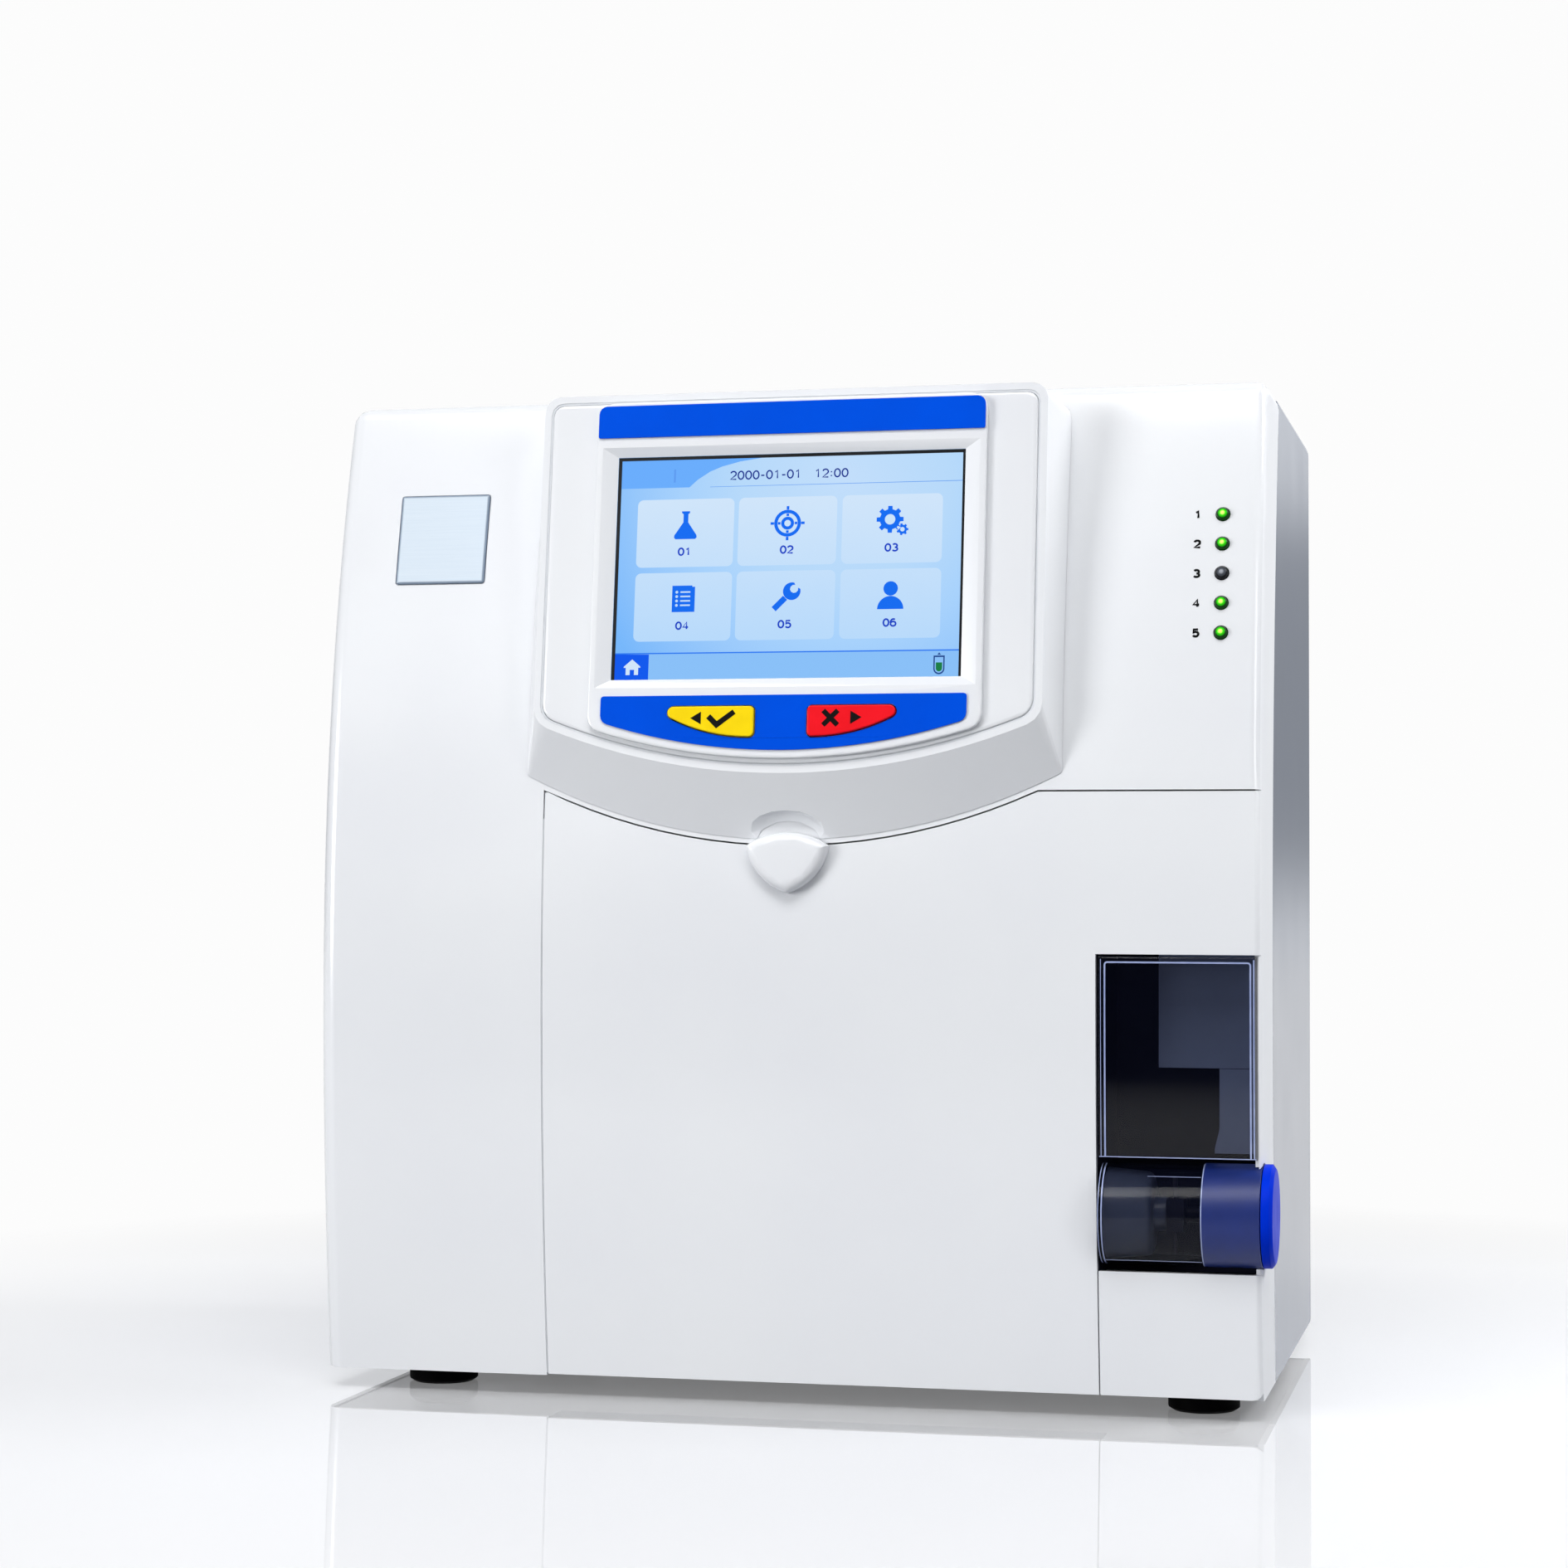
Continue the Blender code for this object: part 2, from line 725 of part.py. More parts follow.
def make_rear_cover():
    rear_inset = front_strip_depth + seam_gap
    outer = case_rear_outline(base, top, rear_inset, rear_edge_radius, rear_low_radius, body_depth)
    cover = prism("rear_cover", [outer], -half_width, half_width, axis_side)
    round_edges(
        cover,
        lambda p: abs(p.x) > half_width - fit_gap and (p.y > body_depth / 2 or p.z > top - fit_gap)
        and p.z > base + rear_low_radius / 2,
        rear_side_width,
    )
    inner = case_rear_outline(
        base - cut_overrun, top - case_wall, rear_inset - cut_overrun, rear_edge_radius - case_wall,
        case_wall, body_depth - case_wall,
    )
    inside = half_width - case_wall
    cut_away(cover, prism("hollow", [inner], -inside, inside, axis_side))
    back_low, back_high = -body_depth - cut_overrun, -body_depth + cut_overrun
    slots = []
    pitch = 2 * fan_bore_radius / grille_slot_count
    for i in range(grille_slot_count):
        height = fan_height + pitch * (i - (grille_slot_count - 1) / 2)
        half = math.sqrt(fan_bore_radius**2 - (height - fan_height) ** 2)
        outline = rounded_rectangle(
            fan_centre - half, height - grille_slot_height / 2,
            fan_centre + half, height + grille_slot_height / 2, grille_slot_height / 3, 2,
        )
        slots.append(prism("slot", [outline], back_low, back_high, axis_front))
    for centre, width, tall in (
        (inlet_centre, inlet_width, inlet_tall), (switch_centre, switch_width, switch_tall)
    ):
        outline = rounded_rectangle(
            centre - width / 2 - fit_gap, inlet_height - tall / 2 - fit_gap,
            centre + width / 2 + fit_gap, inlet_height + tall / 2 + fit_gap, fit_gap, 1,
        )
        slots.append(prism("slot", [outline], back_low, back_high, axis_front))
    return cut_away(cover, *slots)


def hinge_point():
    height = base + hinge_above_base
    return (front_y(height) + panel_thickness + hinge_behind_door, height)


def ear_starts():
    """The left side of each pair of hinge ears: the door's ear, then the tray's beside it."""
    return (door_left + hinge_inset, door_lower_right - hinge_inset - 2 * hinge_ear_width - fit_gap)


def make_base_tray():
    inside = half_width - case_wall - fit_gap
    front = front_y(base) + panel_thickness + 2 * fit_gap
    notch = front + tray_notch_depth
    rear = body_depth - case_wall - fit_gap
    left_step = door_left - panel_gap
    right_step = door_lower_right + panel_gap
    outline = [
        (-inside, front), (left_step, front), (left_step, notch), (right_step, notch),
        (right_step, front), (inside, front), (inside, rear), (-inside, rear),
    ]
    low = base + tray_lift
    high = low + tray_thickness
    tray = prism("base_tray", [outline], low, high, axis_top)
    y, z = hinge_point()
    ears = []
    for start in ear_starts():
        left = start + hinge_ear_width + fit_gap
        right = left + hinge_ear_width
        ears.append(cylinder("ear", hinge_ear_radius, left, right, axis_side, (y, z), 20))
        back = notch + cut_overrun / 2
        ears.append(box("arm", (left, y, z - hinge_ear_radius), (right, back, z + hinge_ear_radius)))
        ears.append(box("web", (left, notch + tray_lift, low + tray_lift), (right, back, z)))
    join(tray, *ears)
    bores = [
        cylinder("bore", hinge_pin_radius + fit_gap, start, start + 3 * hinge_ear_width,
                 axis_side, (y, z), 16)
        for start in ear_starts()
    ]
    return cut_away(tray, *bores)


def make_foot(name, x, y):
    profile = [
        (0, foot_height - fit_gap), (foot_neck_radius, foot_height - fit_gap),
        (foot_radius, foot_height * foot_skirt_share), (foot_radius, foot_height * foot_sole_share),
        (foot_neck_radius, 0), (0, 0),
    ]
    return turned(name, profile, Matrix.Translation((x, y, 0)), 24)


def make_feet():
    left = foot_left_inset - half_width
    right = half_width - foot_right_inset
    rear = body_depth - foot_rear_inset
    places = {
        "front_left_foot": (left, foot_front_inset), "front_right_foot": (right, foot_front_inset),
        "rear_left_foot": (left, rear), "rear_right_foot": (right, rear),
    }
    return [make_foot(name, *place) for name, place in places.items()]


def on_right_front_edge(p):
    return p.x > half_width - fit_gap and p.y < front_y(p.z) + fit_gap


def make_front_door():
    low = base + tray_lift
    slab = curved_slab("front_door", door_left, half_width, low, door_seam_height, 0, panel_thickness)
    round_edges(slab, on_right_front_edge, door_edge_width, 3)
    upper_low = window_top + panel_gap
    arc_points = door_arc_points(panel_gap / 2)
    outline = [(door_left, low - fit_gap), (door_left, arc_points[0][1])] + arc_points[1:]
    outline += [(half_width + fit_gap, door_seam_height - panel_gap / 2), (half_width + fit_gap, upper_low)]
    outline += [(door_lower_right, upper_low), (door_lower_right, low - fit_gap)]
    door = overlap_of(slab, prism("outline", [outline], -body_depth, body_depth, axis_front))
    y, z = hinge_point()
    ears = []
    for start in ear_starts():
        end = start + hinge_ear_width
        ears.append(cylinder("ear", hinge_ear_radius, start, end, axis_side, (y, z), 20))
        root = y - hinge_behind_door - panel_thickness / 2
        ears.append(box("arm", (start, root, z - hinge_ear_radius), (end, y, z + hinge_ear_radius)))
    join(door, *ears)
    bores = [
        cylinder("bore", hinge_pin_radius + fit_gap, start - hinge_ear_width, start + 2 * hinge_ear_width,
                 axis_side, (y, z), 16)
        for start in ear_starts()
    ]
    return cut_away(door, *bores)


def make_hinge_pins():
    y, z = hinge_point()
    pins = []
    for name, start in zip(("left_hinge_pin", "right_hinge_pin"), ear_starts()):
        end = start + 2 * hinge_ear_width + fit_gap
        pins.append(cylinder(name, hinge_pin_radius, start, end, axis_side, (y, z), 16))
    return pins


def tab_frame():
    return surface_frame(head_centre, tab_shoulder_height, -fit_gap)


def make_door_tab():
    """A shield-shaped thumb tab that stands above the door's top edge."""
    left, right, point = (-tab_half_width, 0), (tab_half_width, 0), (0, -tab_length)
    outline = bulge(right, left, tab_crown) + bulge(left, point, tab_side_bulge)
    outline += bulge(point, right, tab_side_bulge)
    tab = prism("door_tab", [outline], 0, tab_stand, tab_frame())
    inverse = tab_frame().inverted()
    return round_edges(tab, lambda p: (inverse @ p).z > tab_stand - fit_gap, tab_edge_width, 3)


def make_door_catch():
    y = front_y(skirt_low_height) + panel_thickness
    half = catch_width / 2
    low = skirt_low_height - catch_height + case_wall
    keeper = box(
        "door_catch", (head_centre - half, y + catch_gap, low),
        (head_centre + half, y + catch_gap + catch_depth, low + catch_height),
    )
    return keeper


def make_lower_panel():
    low = base + tray_lift
    high = sampler_low - panel_gap
    left = door_lower_right + panel_gap
    slab = curved_slab("lower_panel", left, half_width, low - fit_gap, high, 0, panel_thickness)
    round_edges(slab, on_right_front_edge, door_edge_width, 3)
    outline = rounded_rectangle(left - cut_overrun, low, half_width, high + cut_overrun, lower_panel_radius)
    return overlap_of(slab, prism("outline", [outline], -body_depth, body_depth, axis_front))


def skirt_outline(width_inset, drop_inset):
    return shield_outline(
        skirt_half_width - width_inset, top - skirt_top_inset - width_inset, skirt_low_height + drop_inset,
        skirt_arc_radius - drop_inset, skirt_top_radius, skirt_bottom_radius + width_inset, head_centre,
        skirt_side_steps,
    )


def lip_outline(inset, side_steps=1):
    return shield_outline(
        lip_half_width - inset, lip_top - inset, lip_low + inset,
        lip_arc_radius - inset, lip_top_radius - inset / 2, lip_bottom_radius - inset / 2,
        side_steps=side_steps,
    )


def make_display_shroud():
    """The head's skirt: a wall lofted from its outline on the curved case to the lip round the bezel."""
    frame = head_frame()
    rings = [[(x, front_y(z) - fit_gap, z) for x, z in skirt_outline(0, 0)]]
    for inset in (0, lip_width):
        rings.append([frame @ Vector((u, v, 0)) for u, v in lip_outline(inset, skirt_side_steps)])
    inner = skirt_outline(skirt_rim_width, skirt_rim_width)
    rings.append([(x, front_y(z) - fit_gap, z) for x, z in inner])
    shape = bmesh.new()
    loops = [[shape.verts.new(p) for p in ring] for ring in rings]
    count = len(loops[0])
    for ring, following in zip(loops, loops[1:] + loops[:1]):
        for i in range(count):
            j = (i + 1) % count
            shape.faces.new((ring[i], ring[j], following[j], following[i]))
    bmesh.ops.recalc_face_normals(shape, faces=shape.faces)
    shroud = bmesh_object("display_shroud", shape)
    scoop = bmesh.new()
    bmesh.ops.create_uvsphere(scoop, u_segments=20, v_segments=10, radius=1)
    seat = Vector((head_centre, front_y(skirt_low_height) - scoop_forward, skirt_low_height))
    size = Matrix.Diagonal((scoop_half_width, scoop_depth, scoop_height, 1))
    bmesh.ops.transform(scoop, matrix=Matrix.Translation(seat) @ size, verts=scoop.verts)
    return cut_away(shroud, bmesh_object("scoop", scoop))


def make_display_bezel():
    inset = lip_width + bezel_groove
    outline = lip_outline(inset)
    window = glass_half_width + glass_overlap + fit_gap
    hole = rounded_rectangle(
        -window, glass_low - glass_overlap - fit_gap, window, glass_high + glass_overlap + fit_gap, fit_gap, 1
    )
    frame = head_frame()
    low = bezel_stand - bezel_thickness
    bezel = prism("display_bezel", [outline], low, bezel_stand, frame)
    inverse = frame.inverted()
    round_edges(bezel, lambda p: (inverse @ p).z > bezel_stand - fit_gap, bezel_edge)
    cutters = [prism("hole", [hole], low - cut_overrun, cut_overrun, frame)]
    cutters += [prism("hole", [key_outline(side, key_clearance)], low - cut_overrun, cut_overrun, frame)
                for side in (-1, 1)]
    return cut_away(bezel, *cutters)


def panel_face():
    return bezel_stand + fit_gap + panel_rise


def make_control_panel():
    frame = head_frame()
    inverse = frame.inverted()
    low = bezel_stand + fit_gap
    high = panel_face()
    outline = shield_outline(
        panel_half_width, panel_top, panel_low, panel_arc_radius, panel_corner_radius, panel_corner_radius
    )
    panel = prism("control_panel", [outline], low, high, frame)
    round_edges(panel, lambda p: (inverse @ p).z > high - fit_gap, panel_edge)
    recess = bmesh.new()
    outer = [(-recess_half_width, recess_low), (recess_half_width, recess_low),
             (recess_half_width, recess_high), (-recess_half_width, recess_high)]
    inner = [(-glass_half_width, glass_low), (glass_half_width, glass_low),
             (glass_half_width, glass_high), (-glass_half_width, glass_high)]
    reach = cut_overrun / panel_rise
    far = [(a + (b - a) * -reach, c + (d - c) * -reach) for (a, c), (b, d) in zip(outer, inner)]
    deep = [(b + (b - a) * reach, d + (d - c) * reach) for (a, c), (b, d) in zip(outer, inner)]
    near_ring = [recess.verts.new((u, v, high + cut_overrun)) for u, v in far]
    deep_ring = [recess.verts.new((u, v, low - cut_overrun)) for u, v in deep]
    recess.faces.new(near_ring)
    recess.faces.new(list(reversed(deep_ring)))
    for i in range(4):
        j = (i + 1) % 4
        recess.faces.new((near_ring[j], near_ring[i], deep_ring[i], deep_ring[j]))
    bmesh.ops.recalc_face_normals(recess, faces=recess.faces)
    bmesh.ops.transform(recess, matrix=frame, verts=recess.verts)
    cutters = [bmesh_object("recess", recess)]
    cutters += [prism("hole", [key_outline(side, key_clearance)], low - cut_overrun, cut_overrun, frame)
                for side in (-1, 1)]
    return cut_away(panel, *cutters)


def make_screen():
    frame = head_frame()
    half = glass_half_width + glass_overlap
    low, high = glass_low - glass_overlap, glass_high + glass_overlap
    glass = prism(
        "screen_glass", [rounded_rectangle(-half, low, half, high, fit_gap, 1)],
        bezel_stand - glass_thickness, bezel_stand, frame,
    )
    face = bezel_stand - glass_thickness - fit_gap
    seat = bezel_stand - bezel_thickness - fit_gap
    outline = rounded_rectangle(-half, low, half, high, fit_gap, 1)
    module = prism("screen_module", [outline], seat - module_depth, face, frame)
    wide = half + module_flange
    flange = prism(
        "flange", [rounded_rectangle(-wide, low, wide, high + module_flange, fit_gap, 1)],
        seat - module_depth + fit_gap, seat, frame,
    )
    join(module, flange)
    board_high = seat - module_depth - fit_gap
    board_half = half * display_board_share
    board_low, board_top = low + module_flange, high - module_flange
    outline = rounded_rectangle(-board_half, board_low, board_half, board_top, fit_gap, 1)
    board = prism("display_board", [outline], board_high - board_thickness, board_high, frame)
    return [glass, module, board]


def key_outline(side, grow):
    """Flat top, rounded inner corners and an arc below that rises smoothly into a rounded outer tip."""
    inner = key_inner_reach - grow
    outer = key_outer_reach + grow
    low = key_low - grow
    high = key_high + grow
    tip = key_tip_radius + grow
    corner = key_corner_radius + grow
    start = inner + corner
    run = outer - tip - start
    rise = high - tip - low
    radius = (run**2 + rise**2 - tip**2) / (2 * (rise - tip))
    sweep = math.asin(run / (radius - tip))
    quarter = math.pi / 2
    points = arc((start, high - corner), corner, quarter, 2 * quarter, 4)
    points += arc((start, low + corner), corner, 2 * quarter, 3 * quarter, 4)
    points += arc((start, low + radius), radius, -quarter, -quarter + sweep, 8)[1:]
    points += arc((outer - tip, high - tip), tip, -quarter + sweep, quarter, 7)[1:]
    return [(side * a, b) for a, b in points]


def make_bands_and_keys():
    frame = head_frame()
    low = panel_face() + fit_gap
    high = low + band_thickness
    upper = prism(
        "upper_band",
        [rounded_rectangle(-upper_band_half_width, upper_band_low, upper_band_half_width, upper_band_high,
                           upper_band_radius, low_radius=upper_band_low_radius)],
        low, high, frame,
    )
    outline = shield_outline(
        lower_band_half_width, lower_band_high, lower_band_low, lower_band_arc_radius,
        lower_band_radius, lower_band_bottom_radius,
    )
    holes = [key_outline(side, key_clearance) for side in (-1, 1)]
    lower = prism("lower_band", [outline, *holes], low, high, frame)
    board_high = bezel_stand - bezel_thickness - fit_gap
    key_back = board_high + key_travel + fit_gap
    keys = [
        prism(name, [key_outline(side, 0)], key_back, high + key_stand, frame)
        for name, side in (("left_key", -1), ("right_key", 1))
    ]
    inverse = frame.inverted()
    for key in keys:
        round_edges(key, lambda p: (inverse @ p).z > high + key_stand - fit_gap, key_stand / 2)
    board = prism(
        "key_board",
        [rounded_rectangle(-key_outer_reach - key_board_margin, key_low - key_board_margin,
                           key_outer_reach + key_board_margin, key_high + key_board_margin, fit_gap, 1)],
        board_high - board_thickness, board_high, frame,
    )
    return [upper, lower, *keys, board]


def make_badge_plate():
    frame = surface_frame(badge_centre, badge_height)
    half = badge_size / 2
    outline = rounded_rectangle(-half, -half, half, half, badge_corner_radius)
    plate = prism("badge_plate", [outline], badge_stand - badge_thickness, badge_stand, frame)
    inverse = frame.inverted()
    return round_edges(plate, lambda p: (inverse @ p).z > badge_stand - fit_gap, badge_stand, 2)


def light_frames():
    highest = light_middle_height + light_pitch * (light_count - 1) / 2
    return [surface_frame(light_centre, highest - light_pitch * i) for i in range(light_count)]


def make_status_lights():
    quarter = math.pi / 2
    flange_high = -case_wall - fit_gap
    lights = []
    for i, frame in enumerate(light_frames()):
        dome = arc((0, 0), light_radius, quarter, 0, 5)
        profile = [(0, light_radius), *dome[1:-1], (light_radius, 0)]
        profile += [(light_radius, flange_high), (light_radius + light_flange, flange_high),
                    (light_radius + light_flange, -light_length), (0, -light_length)]
        lights.append(turned(f"status_light_{i + 1}", profile, frame, 16))
    middle = surface_frame(light_centre, light_middle_height)
    half = status_board_width / 2
    tall = light_pitch * light_count / 2 + light_radius
    high = -light_length - 3 * fit_gap
    board = prism(
        "status_board", [rounded_rectangle(-half, -tall, half, tall, fit_gap, 1)],
        high - board_thickness, high, middle,
    )
    return [*lights, board]


def make_sampler_window():
    right = half_width - corner_strip - panel_gap / 2
    window = curved_slab("sampler_window", window_left, right, window_low, window_top, 0, window_thickness)
    return round_edges(window, lambda p: p.y < front_y(p.z) + fit_gap, window_edge_width)


def make_sampler_drum():
    """Smoked half shell closed by a disc on its left, turning with the knob on one shaft."""
    y, z = sampler_axis()
    left = window_left + panel_gap
    drum = cylinder("sampler_drum", drum_radius, left, drum_right, axis_side, (y, z), 40)
    inside = drum_radius - drum_wall
    bore = cylinder("bore", inside, left + drum_wall, drum_right + cut_overrun, axis_side, (y, z), 40)
    back = box(
        "back", (left + drum_wall, y + drum_radius / 3, z - drum_radius * 2),
        (drum_right + cut_overrun, y + drum_radius * 2, z + drum_radius * 2),
    )
    eye = cylinder("eye", shaft_radius + fit_gap, left - cut_overrun, left + cut_overrun,
                   axis_side, (y, z), 20)
    return cut_away(drum, bore, back, eye)


def make_sampler_knob():
    y, z = sampler_axis()
    left = drum_right + fit_gap
    right = half_width
    knob = cylinder("sampler_knob", drum_radius + drum_gap, left, right, axis_side, (y, z), 40)
    bore = cylinder("bore", knob_bore, left - cut_overrun, right - drum_wall, axis_side, (y, z), 32)
    eye = cylinder("eye", shaft_radius + fit_gap, left, right + cut_overrun, axis_side, (y, z), 20)
    cut_away(knob, bore, eye)
    rim = drum_radius + drum_gap
    profile = [(0, knob_cap_thickness), (drum_radius - knob_cap_thickness / 3, knob_cap_thickness),
               (rim, knob_cap_thickness * knob_cap_rim_share), (rim, 0), (0, 0)]
    cap = turned("knob_cap", profile, Matrix.Translation((right + fit_gap, y, z)) @ axis_side, 40)
    return [knob, cap]


def make_sampler_works():
    y, z = sampler_axis()
    hub_left = window_left + panel_gap + drum_wall + fit_gap
    hub_right = hub_left + hub_length
    shaft_left = window_left - bearing_wall_thickness - panel_gap
    shaft = cylinder("sampler_shaft", shaft_radius, shaft_left, half_width, axis_side, (y, z), 20)
    hub_large = drum_radius - drum_wall - fit_gap
    hub = cylinder(
        "drum_hub", hub_large, hub_left, hub_right, axis_side, (y, z), 40, end_radius=hub_small_radius
    )
    cut_away(hub, cylinder("eye", shaft_radius + fit_gap, hub_left - cut_overrun, hub_right + cut_overrun,
                           axis_side, (y, z), 20))
    grip_left = hub_right + fit_gap
    across = grip_left + 2 * probe_grip_width
    upright = Matrix.Translation((grip_left + probe_grip_width, y, z))
    reach = shaft_radius + probe_grip_width
    chord = math.sqrt(hub_large**2 - reach**2) - probe_grip_width / 2
    probe = cylinder("sample_probe", probe_radius, -chord, chord, upright, (0, -reach), 16)
    half = probe_grip_height / 2
    grip = box(
        "grip", (grip_left, y - reach - probe_grip_width / 2, z - half),
        (across, y + reach, z + half),
    )
    join(probe, grip)
    cut_away(probe, cylinder("eye", shaft_radius + fit_gap, grip_left - cut_overrun, across + cut_overrun,
                             axis_side, (y, z), 20))
    return [shaft, hub, probe]


def make_sampler_housing():
    """The dark carrier behind the window: back wall, bearing wall, shelf block and side column."""
    back_high = window_top + housing_wall
    low = sampler_low - housing_wall
    right = half_width - case_wall - fit_gap
    bearing_right = window_left - panel_gap
    bearing_left = bearing_right - bearing_wall_thickness
    wall_front = front_y(low) + panel_thickness + fit_gap
    rear = sampler_back + housing_wall
    seat = sampler_back + fit_gap
    housing = box("sampler_housing", (bearing_left, sampler_back, low), (right, rear, back_high))
    pieces = [
        box("bearing", (bearing_left, wall_front, low), (bearing_right, seat, back_high)),
        box("shelf", (sampler_recess_left, sampler_shelf, sampler_recess_top), (right, seat, back_high)),
        box("column", (sampler_column, sampler_shelf, window_low + fit_gap * 2),
            (right, seat, sampler_recess_top + fit_gap)),
        box("roof", (bearing_left, sampler_shelf, back_high - housing_wall), (right, seat, back_high)),
        box("floor", (bearing_left, drum_set_back + drum_radius + 2 * drum_gap, low),
            (right, seat, low + housing_wall)),
        box("mount", (bearing_left, sampler_back, low + housing_wall),
            (right, chassis_set_back - fit_gap, low + 2 * housing_wall)),
    ]
    join(housing, *pieces)
    y, z = sampler_axis()
    sweep = cylinder("sweep", shaft_radius + fit_gap, bearing_left - cut_overrun, bearing_right + cut_overrun,
                     axis_side, (y, z), 20)
    return cut_away(housing, sweep)


def make_chassis():
    inside = half_width - case_wall - chassis_margin / 2
    low = base + tray_lift + tray_thickness + fit_gap
    high = top - case_wall - chassis_margin / 2
    back = chassis_set_back + chassis_thickness
    plate = box("chassis_plate", (-inside, chassis_set_back, low), (inside, back, high))
    hole = cylinder("hole", rotor_shaft_radius + 2 * fit_gap, -chassis_set_back - cut_overrun,
                    -chassis_set_back + cut_overrun, axis_front, (pump_centre, pump_height), 20)
    return cut_away(plate, hole)


def make_electrodes():
    names = ("sodium_electrode", "potassium_electrode", "chloride_electrode", "reference_electrode")
    spot = (electrode_set_back, electrode_axis_height)
    electrodes = []
    start = electrode_first
    for name in names:
        end = start + electrode_length
        electrodes.append(cylinder(name, electrode_radius, start, end, axis_side, spot, 24))
        start = end + fit_gap
    back = chassis_set_back - fit_gap
    low = electrode_axis_height - electrode_radius - fit_gap - rack_wall
    left = electrode_first - fit_gap - rack_wall
    lever_left = start
    right = lever_left + 2 * lever_pivot_radius + 2 * fit_gap
    front = electrode_set_back - electrode_radius
    rack = box("electrode_rack", (left, front, low), (right, back, low + rack_wall))
    high = electrode_axis_height + electrode_radius
    join(
        rack,
        box("back", (left, back - rack_wall, low), (right, back, high)),
        box("end", (left, front, low), (left + rack_wall, back, high)),
    )
    pivot = (lever_left + lever_pivot_radius, electrode_axis_height)
    pin_low = -(back - fit_gap)
    pin_high = -(electrode_set_back - lever_width)
    pin_seat = -(back - rack_wall) + fit_gap
    pin = cylinder("clamp_pin", lever_pin_radius, pin_seat, pin_high, axis_front, pivot, 16)
    lever = cylinder("clamp_lever", lever_pivot_radius, -electrode_set_back - lever_width / 2,
                     -electrode_set_back + lever_width / 2, axis_front, pivot, 24)
    arm = box(
        "arm", (pivot[0] - lever_pin_radius, electrode_set_back - lever_width / 2, pivot[1]),
        (pivot[0] + lever_pin_radius, electrode_set_back + lever_width / 2, pivot[1] + lever_length),
    )
    join(lever, arm)
    cut_away(lever, cylinder("eye", lever_pin_radius + fit_gap, pin_low, 0, axis_front, pivot, 16))
    return [*electrodes, rack, pin], lever, pivot


def make_pump():
    back = chassis_set_back - fit_gap
    spot = (pump_centre, pump_height)
    body = cylinder("pump_body", pump_outer_radius, -back, -back + pump_depth, axis_front, spot, 36)
    bore_floor = -back + rotor_plate_thickness
    bore = cylinder("bore", pump_bore_radius, bore_floor, cut_overrun, axis_front, spot, 36)
    eye_radius = rotor_shaft_radius + fit_gap
    eye = cylinder("eye", eye_radius, -back - cut_overrun, cut_overrun - back, axis_front, spot, 20)
    cut_away(body, bore, eye)
    start = -back + rotor_plate_thickness + fit_gap
    plate_end = start + rotor_plate_thickness
    end = -back + pump_depth - fit_gap
    rotor_radius = rotor_roller_circle + rotor_roller_radius / 2
    rotor = cylinder("pump_rotor", rotor_radius, start, plate_end, axis_front, spot, 32)
    pieces = [cylinder("face", rotor_radius, end - rotor_plate_thickness, end, axis_front, spot, 32)]
    for i in range(3):
        turn = 2 * math.pi * i / 3
        x = pump_centre + rotor_roller_circle * math.cos(turn)
        z = pump_height + rotor_roller_circle * math.sin(turn)
        pieces.append(cylinder("roller", rotor_roller_radius, start + fit_gap, end - fit_gap, axis_front,
                               (x, z), 16))
    shaft_end = -chassis_set_back - chassis_thickness - fit_gap
    pieces.append(cylinder("shaft", rotor_shaft_radius, shaft_end, end - fit_gap, axis_front, spot, 20))
    join(rotor, *pieces)
    behind = chassis_set_back + chassis_thickness + 2 * fit_gap
    half = motor_size / 2
    motor = box(
        "pump_motor", (pump_centre - half, behind, pump_height - half),
        (pump_centre + half, behind + motor_depth, pump_height + half), pack_edge,
    )
    return [body, motor], rotor


